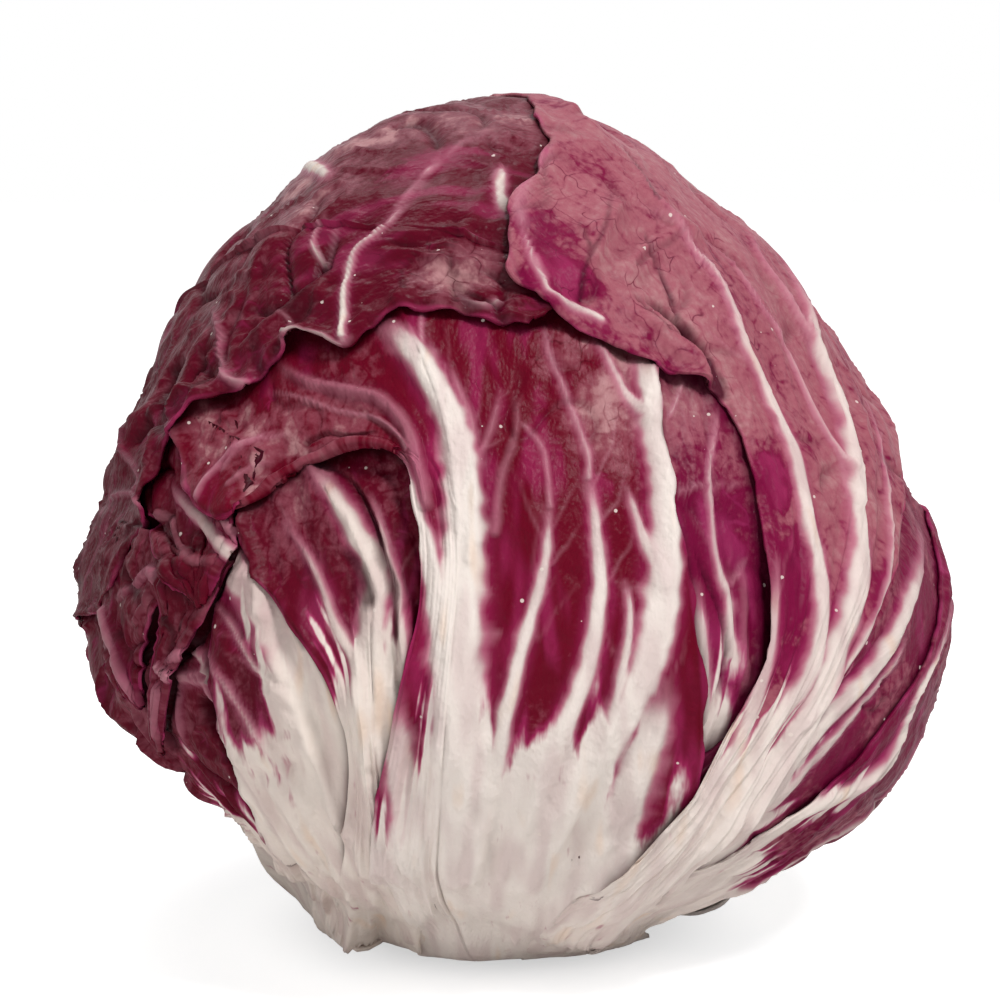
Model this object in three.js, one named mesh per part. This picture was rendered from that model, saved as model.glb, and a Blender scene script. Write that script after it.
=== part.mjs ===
// A head of round radicchio: wine-red leaves with white ribs, wrapped one over another round a tight
// heart, and all growing from one short stem that is cut flat and carries the head.
//
// Units are millimetres, +Z is up and the front of the head faces -Y. The origin is the middle of the
// flat cut face of the stem, so the head stands on Z = 0.
//
// The head is described from a point inside it, the centre. A direction from there has an azimuth,
// 0 at the front and growing to the right, and a polar angle, 0 straight down and 180 straight up.
// Each leaf is drawn flat, in degrees to the right and up from a middle point of its own, and is then
// bent round the head. The leaves are laid on from the inside out, each one on those below it.

import * as THREE from "three";

// ---- driving dimensions ----

const CENTRE = new THREE.Vector3(-2.2, 4.5, 47.8);
const PROFILE_STEP = 15; // degrees of polar angle from one profile value to the next
const PROFILES = {
  // distance from the centre to the outside of the head, from straight down to straight up
  right: [47.2, 48.6, 53, 58, 62.7, 64.8, 64.4, 60.3, 58.4, 59.2, 61, 64.3, 67],
  left: [47.2, 48.2, 51.6, 53.6, 52.4, 56.6, 55.3, 53.6, 54, 56.7, 60, 64, 67],
  front: [47.2, 47.6, 49.6, 53.8, 57, 58.5, 59, 57, 56, 58, 61, 64.3, 67],
  back: [47.2, 48.6, 52.5, 57, 60, 61, 60, 58, 57, 58, 61, 64.3, 67],
};

const STEM = { radius: 15, topRadius: 7.5, height: 17, edge: 0.8, sides: 48 };
const HEART = { around: 32, up: 18, depthLow: 24, depthHigh: 14, lowUpTo: 60 };

const GAP = 0.36; // clear space between a leaf and what it lies on
const LIFT = 0.7; // least height of a leaf above what the head stands on
const BLADE = 1; // thickness of a leaf out in its blade
const BUTT = 1.25; // thickness of a leaf where it leaves the stem
const BUTT_END = 0.4; // share of a leaf's length over which it thins from one to the other
const TUCK = 12.5; // how much deeper a leaf lies at the stem
const TUCK_END = 0.3; // share of a leaf's length over which it comes out again
const ACROSS = 10; // strips over the width of a leaf, an even number
const ALONG = 16; // strips over its length
const LOOKS = 5; // looks per strip at what lies below
const PASSES = 16; // rounds of raising a leaf clear of what lies below

const WINE = 0x6d1533;
const COLOURS = { stem: 0xe6d9bd, heart: 0x8c2a4c, leaf: WINE };

// ---- the leaves, from the inside out ----

// middle: azimuth and polar angle of the point that the leaf is drawn from.
// left, rib, right: the two margins and the midrib from stem to tip, in degrees right and up.
// depth: how far under the outside of the head the leaf lies where nothing lifts it.
const LEAVES = [
  {
    name: "heart_leaf_front",
    middle: [-8, 95],
    left: [[-1, -70], [-26, -46], [-42, -18], [-52, 10], [-48, 38], [-26, 62]],
    rib: [[5, -70], [0, -44], [-2, -16], [0, 12], [2, 40], [4, 68]],
    right: [[11, -70], [26, -46], [40, -18], [50, 10], [46, 38], [28, 60]],
    depth: 12,
  },
  {
    name: "heart_leaf_right",
    middle: [82, 95],
    left: [[-11, -71], [-34, -46], [-46, -18], [-52, 10], [-46, 38], [-26, 62]],
    rib: [[-5, -72], [-8, -44], [-4, -16], [0, 12], [2, 40], [4, 66]],
    right: [[1, -73], [20, -46], [38, -18], [50, 10], [46, 38], [26, 60]],
    depth: 12,
  },
  {
    name: "heart_leaf_back",
    middle: [172, 95],
    left: [[-9, -80], [-32, -50], [-46, -20], [-54, 10], [-48, 38], [-26, 62]],
    rib: [[-3, -80], [-2, -50], [0, -18], [0, 12], [2, 40], [4, 66]],
    right: [[4, -81], [28, -50], [42, -20], [52, 10], [46, 38], [26, 60]],
    depth: 12,
  },
  {
    name: "heart_leaf_left",
    middle: [-98, 95],
    left: [[-1, -79], [-22, -50], [-42, -20], [-52, 10], [-48, 38], [-26, 62]],
    rib: [[6, -78], [8, -46], [2, -16], [0, 12], [0, 40], [0, 66]],
    right: [[12, -78], [34, -46], [44, -18], [50, 10], [44, 38], [24, 60]],
    depth: 12,
  },
  {
    name: "back_leaf_middle",
    middle: [175, 90],
    left: [[-16, -75], [-40, -55], [-52, -22], [-56, 10], [-50, 36], [-26, 60]],
    rib: [[-9, -75], [-8, -54], [-4, -22], [0, 8], [4, 38], [8, 68]],
    right: [[-3, -75], [26, -54], [44, -22], [54, 8], [50, 36], [32, 60]],
    depth: 8.5,
  },
  {
    name: "back_leaf_left",
    middle: [-140, 90],
    left: [[-13, -78], [-26, -56], [-42, -24], [-50, 6], [-46, 34], [-24, 58]],
    rib: [[-6, -77], [0, -54], [-2, -22], [-2, 8], [0, 36], [6, 64]],
    right: [[0, -76], [28, -54], [42, -24], [50, 6], [46, 32], [30, 54]],
    depth: 6,
  },
  {
    name: "back_leaf_right",
    middle: [135, 90],
    left: [[-23, -72], [-40, -52], [-50, -22], [-54, 8], [-48, 34], [-24, 58]],
    rib: [[-17, -71], [-14, -50], [-8, -20], [-2, 8], [2, 36], [6, 64]],
    right: [[-10, -71], [12, -52], [32, -22], [46, 8], [46, 34], [28, 58]],
    depth: 3.5,
  },
  {
    name: "left_leaf_rear",
    middle: [-95, 85],
    left: [[-7, -71], [-20, -52], [-36, -26], [-44, 2], [-42, 28], [-20, 54]],
    rib: [[-1, -69], [8, -46], [4, -20], [0, 6], [-4, 30], [-8, 58]],
    right: [[5, -68], [30, -44], [36, -20], [34, 4], [28, 28], [16, 50]],
    depth: 5.5,
  },
  {
    name: "tucked_leaf",
    middle: [32, 95],
    left: [[-14, -71], [-19, -45], [-14, -22], [-10, 0], [-8, 18], [-6, 34]],
    rib: [[-8, -69], [-14, -44], [-5, -20], [-1, -2], [0, 16], [4, 32]],
    right: [[-2, -69], [-4, -44], [4, -22], [10, -2], [14, 16], [14, 30]],
    depth: 6,
  },
  {
    name: "left_leaf_low",
    middle: [-60, 90],
    left: [[-8, -73], [-4, -52], [2, -36], [2, -18], [-14, 0], [-20, 26]],
    rib: [[-2, -71], [16, -52], [24, -34], [22, -16], [12, 6], [3, 31]],
    right: [[3, -70], [27, -50], [40, -32], [38, -12], [30, 10], [20, 34]],
    depth: 3,
  },
  {
    name: "left_leaf_middle",
    middle: [-40, 90],
    left: [[-6, -70], [2, -50], [8, -30], [4, -12], [-14, -2], [-22, 12]],
    rib: [[0, -68], [18, -46], [26, -26], [22, -8], [12, 4], [4, 16]],
    right: [[6, -67], [24, -44], [36, -22], [34, -2], [26, 14], [14, 28]],
    depth: 2.2,
  },
  {
    name: "left_leaf_upper",
    middle: [-20, 90],
    left: [[-6, -68], [-6, -46], [2, -22], [2, -4], [-10, 10], [-18, 24]],
    rib: [[0, -66], [8, -44], [7, -20], [7, -2], [5, 11], [-6, 27]],
    right: [[6, -66], [12, -44], [16, -20], [18, 0], [16, 16], [8, 34]],
    depth: 4,
  },
  {
    name: "right_leaf_upper",
    middle: [80, 90],
    left: [[-33, -74], [-60, -50], [-56, -25], [-44, -6], [-26, 10], [0, 34]],
    rib: [[-29, -71], [-50, -48], [-48, -27], [-36, -11], [-20, -1], [6, 12]],
    right: [[-24, -68], [-42, -52], [-40, -34], [-28, -20], [-10, -8], [20, -4]],
    depth: 2.4,
  },
  {
    name: "right_leaf_low",
    middle: [105, 85],
    left: [[-32, -70], [-60, -50], [-56, -28], [-46, -10], [-28, 6], [0, 24]],
    rib: [[-28, -67], [-50, -50], [-49, -30], [-40, -12], [-24, 0], [4, 10]],
    right: [[-23, -65], [-36, -54], [-34, -38], [-24, -26], [-6, -18], [20, -12]],
    depth: 1,
  },
  {
    name: "front_leaf",
    middle: [0, 95],
    left: [[-5, -70], [-15, -48], [-13, -24], [-8, 2], [-10, 19], [-22, 22], [-35, 10], [-50, 36]],
    rib: [[1, -70], [-6, -45], [-5, -22], [-3, 2], [-3, 15], [-5, 25], [-9, 36], [-18, 50]],
    right: [[8, -70], [15, -50], [21, -25], [26, 0], [27, 14], [27, 27], [23, 40], [10, 54]],
    depth: 1.2,
  },
  {
    name: "crown_leaf",
    middle: [-100, 140],
    left: [
      [-48, -127], [-60, -98], [-78, -66], [-78, -26], [-58, 2], [-40, 22], [-20, 38], [2, 48], [20, 52],
    ],
    rib: [
      [-38, -126], [-40, -98], [-40, -66], [-20, -42], [0, -24], [10, -6], [24, 12], [34, 26], [32, 46],
    ],
    right: [
      [-27, -126], [-22, -98], [0, -74], [26, -54], [45, -31], [45, -13], [47, 5], [49, 22], [50, 43],
    ],
    depth: 0.2,
  },
  {
    name: "right_wrapper_leaf",
    middle: [52, 105],
    left: [[-19, -80], [-36, -63], [-29, -40], [-17, -14], [-12, 10], [-25, 28], [-32, 42], [-8, 64]],
    rib: [[-12, -80], [-29, -60], [-22, -40], [-5, -13], [5, 7], [18, 30], [26, 50], [24, 74]],
    right: [[-6, -79], [-22, -59], [-12, -35], [4, -12], [22, 2], [38, 18], [50, 40], [52, 72]],
    depth: 0,
  },
];

// ---- directions and the outside of the head ----

const radians = THREE.MathUtils.degToRad;
const clamp = THREE.MathUtils.clamp;
const lerp = THREE.MathUtils.lerp;

// The unit vector at an azimuth and a polar angle, both in degrees.
function direction(azimuth, polar) {
  const a = radians(azimuth);
  const p = radians(polar);
  return new THREE.Vector3(Math.sin(a) * Math.sin(p), -Math.cos(a) * Math.sin(p), -Math.cos(p));
}

// The polar angle of a unit vector, in degrees.
function polarOf(d) {
  return THREE.MathUtils.radToDeg(Math.acos(clamp(-d.z, -1, 1)));
}

// A smooth value through evenly spaced ones, at steps from the first.
function smoothThrough(values, steps) {
  const last = values.length - 1;
  const at = clamp(steps, 0, last - 1e-6);
  const i = Math.floor(at);
  const f = at - i;
  const [a, b, c, d] = [-1, 0, 1, 2].map((k) => values[clamp(i + k, 0, last)]);
  const bend = 2 * a - 5 * b + 4 * c - d + f * (3 * (b - c) + d - a);
  return b + 0.5 * f * (c - a + f * bend);
}

// The distance from the centre to the outside of the head in a direction.
function headRadius(d) {
  const level = Math.hypot(d.x, d.y) || 1;
  const x = d.x / level;
  const y = d.y / level;
  const steps = polarOf(d) / PROFILE_STEP;
  const side = x > 0 ? PROFILES.right : PROFILES.left;
  const face = y > 0 ? PROFILES.back : PROFILES.front;
  const sideRadius = smoothThrough(side, steps);
  return sideRadius + (smoothThrough(face, steps) - sideRadius) * y * y;
}

function pointAt(d, radius) {
  return CENTRE.clone().addScaledVector(d, radius);
}

// ---- meshes ----

function geometryOf(points, faces) {
  const flat = points.flatMap((p) => [p.x, p.y, p.z]);
  return new THREE.BufferGeometry()
    .setAttribute("position", new THREE.Float32BufferAttribute(flat, 3))
    .setIndex(faces);
}

function meshOf(name, geometry, color, roughness) {
  const material = new THREE.MeshStandardMaterial({ color, roughness, metalness: 0 });
  material.side = THREE.DoubleSide; // a look from the centre meets the inside of each surface
  const mesh = new THREE.Mesh(geometry, material);
  mesh.name = name;
  return mesh;
}

// A closed body between an outer and an inner grid of points.
function bodyBetween(outer, inner) {
  const rows = outer.length;
  const columns = outer[0].length;
  const under = rows * columns;
  const faces = [];
  const quad = (a, b, c, d) => faces.push(a, b, c, a, c, d);
  for (let r = 0; r + 1 < rows; r++) {
    for (let c = 0; c + 1 < columns; c++) {
      const a = r * columns + c;
      quad(a, a + 1, a + columns + 1, a + columns);
      quad(under + a, under + a + columns, under + a + columns + 1, under + a + 1);
    }
  }
  const rim = [];
  for (let c = 0; c + 1 < columns; c++) rim.push(c);
  for (let r = 0; r + 1 < rows; r++) rim.push(r * columns + columns - 1);
  for (let c = columns - 1; c > 0; c--) rim.push((rows - 1) * columns + c);
  for (let r = rows - 1; r > 0; r--) rim.push(r * columns);
  rim.forEach((a, i) => {
    const b = rim[(i + 1) % rim.length];
    quad(b, a, under + a, under + b);
  });
  return geometryOf([...outer.flat(), ...inner.flat()], faces);
}

// ---- the stem and the heart ----

function makeStem() {
  const { radius, topRadius, height, edge, sides } = STEM;
  const profile = [
    new THREE.Vector2(0, 0),
    new THREE.Vector2(radius - edge, 0),
    new THREE.Vector2(radius, edge),
    new THREE.Vector2(topRadius, height),
    new THREE.Vector2(0, height),
  ];
  const geometry = new THREE.LatheGeometry(profile, sides);
  geometry.rotateX(Math.PI / 2);
  return meshOf("stem", geometry, COLOURS.stem, 0.7);
}

// How far the heart lies under the outside of the head.
function heartDepth(polar) {
  const share = clamp(polar / HEART.lowUpTo, 0, 1);
  return lerp(HEART.depthLow, HEART.depthHigh, THREE.MathUtils.smoothstep(share, 0, 1));
}

function makeHeart() {
  const { around, up } = HEART;
  const surface = (azimuth, polar) => {
    const d = direction(azimuth, polar);
    return pointAt(d, headRadius(d) - heartDepth(polar));
  };
  const points = [surface(0, 0)];
  for (let r = 1; r < up; r++) {
    for (let c = 0; c < around; c++) points.push(surface((c * 360) / around, (r * 180) / up));
  }
  points.push(surface(0, 180));
  const at = (r, c) => 1 + (r - 1) * around + (c % around);
  const top = points.length - 1;
  const faces = [];
  for (let c = 0; c < around; c++) {
    faces.push(0, at(1, c + 1), at(1, c), top, at(up - 1, c), at(up - 1, c + 1));
    for (let r = 1; r + 1 < up; r++) {
      faces.push(at(r, c), at(r, c + 1), at(r + 1, c + 1), at(r, c), at(r + 1, c + 1), at(r + 1, c));
    }
  }
  return meshOf("heart", geometryOf(points, faces), COLOURS.heart, 0.6);
}

// ---- the leaves ----

// The direction of a leaf's point at u, from -1 at the left margin to 1 at the right one, and t, from
// 0 at the stem to 1 at the tip.
function leafDirection(leaf, u, t) {
  const along = (line, k) => smoothThrough(line.map((p) => p[k]), t * (line.length - 1));
  const margin = u < 0 ? leaf.left : leaf.right;
  const x = lerp(along(leaf.rib, 0), along(margin, 0), Math.abs(u));
  const y = lerp(along(leaf.rib, 1), along(margin, 1), Math.abs(u));
  const [azimuth, polar] = leaf.middle;
  const middle = direction(azimuth, polar);
  const right = direction(azimuth + 90, 90);
  const up = direction(azimuth, polar + 90);
  const away = Math.hypot(x, y) || 1;
  const turn = radians(away);
  return middle
    .multiplyScalar(Math.cos(turn))
    .addScaledVector(right, (Math.sin(turn) * x) / away)
    .addScaledVector(up, (Math.sin(turn) * y) / away);
}

// The distance from the centre to the outermost of the pieces below, in a direction.
function stackRadius(d, below) {
  const looker = new THREE.Raycaster(CENTRE, d);
  const hits = looker.intersectObjects(below);
  return hits.length ? hits[hits.length - 1].distance : 0;
}

// Raises the corners of each cell of a leaf until its flat faces clear what was seen below, and no
// corner further than the highest thing seen round it.
function settle(radii, needs) {
  const most = radii.map((row) => row.slice());
  for (const { corners, need } of needs) {
    for (const [r, c] of corners) most[r][c] = Math.max(most[r][c], need);
  }
  for (let pass = 0; pass < PASSES; pass++) {
    for (const { corners, need } of needs) {
      const short = need - corners.reduce((sum, [r, c, share]) => sum + share * radii[r][c], 0);
      if (short <= 0) continue;
      const squares = corners.reduce((sum, [, , share]) => sum + share * share, 0);
      for (const [r, c, share] of corners) {
        radii[r][c] = Math.min(radii[r][c] + (short * share) / squares, most[r][c]);
      }
    }
  }
}

// Values on a grid of points, row by row.
function grid(rows, columns, valueAt) {
  const row = (r) => Array.from({ length: columns + 1 }, (_, c) => valueAt(r, c));
  return Array.from({ length: rows + 1 }, (_, r) => row(r));
}

// What each look from the centre asks of the four corners of its cell.
function needsOf(sight, below) {
  const rows = ALONG * LOOKS;
  const columns = ACROSS * LOOKS;
  const stack = grid(rows, columns, (y, x) => stackRadius(sight(y / LOOKS, x / LOOKS), below));
  const highestRound = (y, x) => {
    const rowsRound = stack.slice(Math.max(0, y - 1), y + 2);
    return Math.max(...rowsRound.flatMap((row) => row.slice(Math.max(0, x - 1), x + 2)));
  };
  const needs = [];
  for (let y = 0; y <= rows; y++) {
    for (let x = 0; x <= columns; x++) {
      const r = Math.min(Math.floor(y / LOOKS), ALONG - 1);
      const c = Math.min(Math.floor(x / LOOKS), ACROSS - 1);
      const f = y / LOOKS - r;
      const g = x / LOOKS - c;
      const corners = [
        [r, c, (1 - f) * (1 - g)],
        [r, c + 1, (1 - f) * g],
        [r + 1, c, f * (1 - g)],
        [r + 1, c + 1, f * g],
      ];
      const reach = Math.max(
        sight(r, c).angleTo(sight(r + 1, c + 1)),
        sight(r + 1, c).angleTo(sight(r, c + 1)),
      );
      needs.push({ corners, need: (highestRound(y, x) + GAP) / Math.cos(reach / 2) });
    }
  }
  return needs;
}

function makeLeaf(leaf, below) {
  const sight = (r, c) => leafDirection(leaf, (2 * c) / ACROSS - 1, r / ALONG);
  const thickness = (r) => lerp(BUTT, BLADE, clamp(r / ALONG / BUTT_END, 0, 1));
  const tuck = (r) => TUCK * (1 - THREE.MathUtils.smoothstep(r / ALONG, 0, TUCK_END));
  const resting = (r, c) => headRadius(sight(r, c)) - leaf.depth - tuck(r) - thickness(r);
  const radii = grid(ALONG, ACROSS, resting);
  settle(radii, needsOf(sight, below));
  const lowest = (r, c) => (CENTRE.z - LIFT) / Math.max(-sight(r, c).z, 0.2) - thickness(r);
  radii.forEach((row, r) => row.forEach((radius, c) => (row[c] = Math.min(radius, lowest(r, c)))));
  const inner = grid(ALONG, ACROSS, (r, c) => pointAt(sight(r, c), radii[r][c]));
  const outer = grid(ALONG, ACROSS, (r, c) => pointAt(sight(r, c), radii[r][c] + thickness(r)));
  return meshOf(leaf.name, bodyBetween(outer, inner), COLOURS.leaf, 0.5);
}

// ---- the head ----

const head = new THREE.Group();
const stem = makeStem();
const laid = [makeHeart()];
head.add(stem, laid[0]);
for (const leaf of LEAVES) {
  const mesh = makeLeaf(leaf, laid);
  laid.push(mesh);
  head.add(mesh);
}

export default head;
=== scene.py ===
"""A head of round radicchio, dressed on its CAD frame.

The leaves are laid on from the inside out, as they grow. Each one starts as a flat grid, is bent
round the head, rests on the leaves under it, and then gets its ribs, veins, folds and lifted edge.
Lengths are in millimetres until a mesh is made, which is in metres.
"""

import logging
import math
from dataclasses import dataclass, field
from enum import Enum

import bmesh
import bpy
import numpy as np
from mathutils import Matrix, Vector
from mathutils.bvhtree import BVHTree


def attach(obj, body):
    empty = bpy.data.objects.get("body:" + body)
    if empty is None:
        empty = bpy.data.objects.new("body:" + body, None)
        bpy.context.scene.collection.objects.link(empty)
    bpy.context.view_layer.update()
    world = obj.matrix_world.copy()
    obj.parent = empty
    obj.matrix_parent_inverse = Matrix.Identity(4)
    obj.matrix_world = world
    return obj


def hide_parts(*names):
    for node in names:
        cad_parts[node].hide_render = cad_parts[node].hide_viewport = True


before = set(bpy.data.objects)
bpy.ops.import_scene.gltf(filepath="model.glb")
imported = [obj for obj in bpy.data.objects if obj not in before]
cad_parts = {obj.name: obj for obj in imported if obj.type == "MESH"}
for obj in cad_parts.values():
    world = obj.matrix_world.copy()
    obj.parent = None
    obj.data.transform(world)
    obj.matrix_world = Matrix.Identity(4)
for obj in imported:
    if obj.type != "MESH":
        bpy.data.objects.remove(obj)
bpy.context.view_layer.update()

log = logging.getLogger("radicchio")

MM = 0.001
CENTRE = np.array([-2.2, 4.5, 47.8])  # the point that directions and radii are taken from
PROFILE_STEP = 15.0  # degrees of polar angle from one profile value to the next
PROFILES = {
    "right": (47.2, 48.6, 53, 58, 62.7, 64.8, 64.4, 60.3, 58.4, 59.2, 61, 64.3, 67),
    "left": (47.2, 48.2, 51.6, 53.6, 52.4, 56.6, 55.3, 53.6, 54, 56.7, 60, 64, 67),
    "front": (47.2, 47.6, 49.6, 53.8, 57, 58.5, 59, 57, 56, 58, 61, 64.3, 67),
    "back": (47.2, 48.6, 52.5, 57, 60, 61, 60, 58, 57, 58, 61, 64.3, 67),
}
BLADE = 0.5  # thickness of a leaf
REST_GAP = 0.15  # clear space between a leaf and what it lies on
LOWEST = 0.4  # least height of a leaf above what the head stands on
LAST = 20  # number of leaves and lobes
TUCK = 12.5  # how much deeper a leaf lies at the stem
TUCK_END = 30.0  # length over which it comes out from there
ROOT_END = 20.0  # length over which a leaf's foot comes down to the stem
ROOT_CURL = 0.24  # how far a leaf's foot bends in under the head
ROOT_CURL_END = 9.0  # length over which it does
ROOT_RISE = 1.2  # how much its end turns up
ROOT_HEIGHT = 0.5  # height of the outermost leaf's foot
ROOT_STEP = 0.13  # how much higher each leaf under it starts
ROOT_WIDER = 0.5  # how much wider a leaf is at its foot than its plan
ROOT_SUNK = 8.0  # how far the leaves' feet may pass into one another
LOBE_START = 60.0  # how far from the stem a leaf that isn't rooted starts
HUG_UNDER = (2.2, 4.2)  # height over which a loose margin near the stem stops being pulled down
BRIDGE = 40  # rounds of smoothing that let a leaf bridge the steps under it
HUG_SPREAD = 6  # the same for a margin that is pulled down
HOLLOW_SPREAD = 12  # the same for finding hollows, which are given painted shade
SHADE_SPREAD = 18  # the same for the shadow painted beside a leaf
MIDDLING = 26.0  # distance from a middling leaf's midrib to its margin
TIP_LENGTH = 90.0  # distance that a whole leaf's length counts as, for the edge at its tip
RIB_WIDE, RIB_HIGH, RIB_PALE = 0.45, 0.6, 0.3  # from where a line is a rib, high or pale
RIB_FAR = 6.0  # how far off a rib its effects are looked for
SIDE_VEIN_STEP = 3.4  # distance between fine veins along a main one
LAYERS = ("pale", "vein", "halo", "fold_shade_and_crack", "bloom", "worn", "margin", "hollow_shade", "beside")
PLACE_LAYER = "flat_mm"
FAR = 0.12  # metres from the centre that a look inwards starts at
OVER = 0.012  # metres above a leaf within which another one shades it

DUST_AND_SHEEN = (0.38, 0.18, 0.19)  # the palest, dustiest colour of a blade, with painted sheen in it
# the colour of the pale specks: painted glints of dew, and grit
DEW_GLINT_AND_GRIT = (0.7, 0.6, 0.55)
GREY_FOLD_SHADE, PEACHED, PINKED = (0.86, 0.8, 0.82), (0.98, 0.72, 0.5), (0.8, 0.4, 0.55)  # cream's tints: grey for painted fold shade, peach and pink
CRACKED, SHADED = (0.6, 0.6, 0.6), (0.3, 0.3, 0.3)  # tints of a blade's deep colour: in cracks, and in painted shade
FLESH, FLESH_GREY, FLESH_BROWN = (0.7, 0.6, 0.48), (0.6, 0.46, 0.32), (0.42, 0.24, 0.12)
HEART_WINE, HEART_PINK, HEART_PALE = (0.12, 0.006, 0.025), (0.4, 0.1, 0.17), (0.6, 0.45, 0.4)

Colour = tuple[float, float, float]
Pair = tuple[float, float]
Points = tuple[Pair, ...]
Spot = tuple[float, float, float, float]  # right, up, radius, strength
Socket = bpy.types.NodeSocket


# ---- smooth curves, noise and directions ----


def smooth_through(values: np.ndarray, steps: np.ndarray) -> np.ndarray:
    """Smooth values through evenly spaced ones.

    Args:
        values: The values, one row or number for each step.
        steps: Where to read, in steps from the first.

    Returns:
        The values at those places.
    """
    last = len(values) - 1
    at = np.clip(steps, 0, last - 1e-6)
    i = np.floor(at).astype(int)
    f = at - i
    a, b, c, d = (values[np.clip(i + k, 0, last)] for k in (-1, 0, 1, 2))
    if values.ndim > 1:
        f = f[..., None]
    bend = 2 * a - 5 * b + 4 * c - d + f * (3 * (b - c) + d - a)
    return b + 0.5 * f * (c - a + f * bend)


def smoothstep(low: float, high: float, x: np.ndarray) -> np.ndarray:
    """A soft step from 0 at low to 1 at high."""
    s = np.clip((x - low) / (high - low), 0, 1)
    return s * s * (3 - 2 * s)


def fade(low: float, high: float, x: np.ndarray) -> np.ndarray:
    """A soft step from 1 at low to 0 at high."""
    return 1 - smoothstep(low, high, x)


def ripples(x: np.ndarray, y: np.ndarray, size: float, seed: int) -> np.ndarray:
    """Smooth noise on a plane.

    Args:
        x: Places across, in mm.
        y: Places along, in mm.
        size: Distance from one bump to the next, in mm.
        seed: Which noise it is.

    Returns:
        Values from about -1 to 1.
    """
    turn = np.random.default_rng(seed).random((64, 64)) * 2 * math.pi
    gx, gy = x / size + 31.7, y / size + 17.3
    ix, iy = np.floor(gx).astype(int), np.floor(gy).astype(int)
    fx, fy = gx - ix, gy - iy
    sx, sy = (f * f * f * (f * (f * 6 - 15) + 10) for f in (fx, fy))

    def corner(i: int, j: int) -> np.ndarray:
        """The slope of one corner of each cell, felt at the place."""
        angle = turn[(ix + i) % 64, (iy + j) % 64]
        return np.cos(angle) * (fx - i) + np.sin(angle) * (fy - j)

    low = corner(0, 0) * (1 - sx) + corner(1, 0) * sx
    high = corner(0, 1) * (1 - sx) + corner(1, 1) * sx
    return 1.5 * (low * (1 - sy) + high * sy)


def direction(azimuth: float, polar: float) -> np.ndarray:
    """The unit vector at an azimuth, 0 at the front, and a polar angle, 0 straight down."""
    a, p = math.radians(azimuth), math.radians(polar)
    return np.array([math.sin(a) * math.sin(p), -math.cos(a) * math.sin(p), -math.cos(p)])


def head_radius(d: np.ndarray) -> np.ndarray:
    """The distance from the centre to the outside of the head in each direction."""
    level = np.maximum(np.hypot(d[..., 0], d[..., 1]), 1e-9)
    x, y = d[..., 0] / level, d[..., 1] / level
    steps = np.degrees(np.arccos(np.clip(-d[..., 2], -1, 1))) / PROFILE_STEP
    read = {k: smooth_through(np.array(v, float), steps) for k, v in PROFILES.items()}
    side = np.where(x > 0, read["right"], read["left"])
    face = np.where(y > 0, read["back"], read["front"])
    return side + (face - side) * y * y


# ---- finishes ----


@dataclass(frozen=True)
class LeafFinish:
    """The colours and gloss of one kind of leaf."""

    deep: Colour
    # the dusty bloom's colour, with the leaf's satin sheen painted into it
    bloom: Colour
    bloom_and_sheen_share: float
    fringe: Colour
    cream: Colour
    roughness: float


class Finish(Enum):
    """The kinds of leaf on the head."""

    INNER = LeafFinish(
        (0.1, 0.003, 0.014), (0.24, 0.06, 0.09), 0.4, (0.36, 0.04, 0.13), (0.68, 0.56, 0.48), 0.5
    )
    WINE = LeafFinish(
        (0.09, 0.001, 0.01), (0.185, 0.04, 0.06), 0.4, (0.33, 0.03, 0.11), (0.7, 0.61, 0.55), 0.4
    )
    CRIMSON = LeafFinish(
        (0.11, 0.0005, 0.01), (0.2, 0.04, 0.06), 0.0, (0.33, 0.02, 0.1), (0.73, 0.65, 0.6), 0.4
    )
    DUSK = LeafFinish(
        (0.085, 0.001, 0.01), (0.17, 0.04, 0.058), 0.1, (0.3, 0.025, 0.09), (0.72, 0.64, 0.58), 0.36
    )
    MAUVE = LeafFinish(
        (0.16, 0.003, 0.036), (0.3, 0.085, 0.112), 1.0, (0.34, 0.03, 0.11), (0.72, 0.63, 0.58), 0.42
    )
    ROSE = LeafFinish(
        (0.14, 0.002, 0.03), (0.27, 0.07, 0.1), 0.4, (0.34, 0.03, 0.12), (0.71, 0.62, 0.57), 0.42
    )


# ---- the leaves, from the inside out ----


@dataclass(frozen=True)
class Vein:
    """A rib, vein, fold or crack on a leaf. Each pair is its start, then its end.

    A height below 0 is a groove, and a paleness below 0 darkens: it paints shade into folds and
    grooves, and the dark of cracks.
    """

    half_width: Pair
    height: Pair
    pale: Pair
    points: Points


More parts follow.
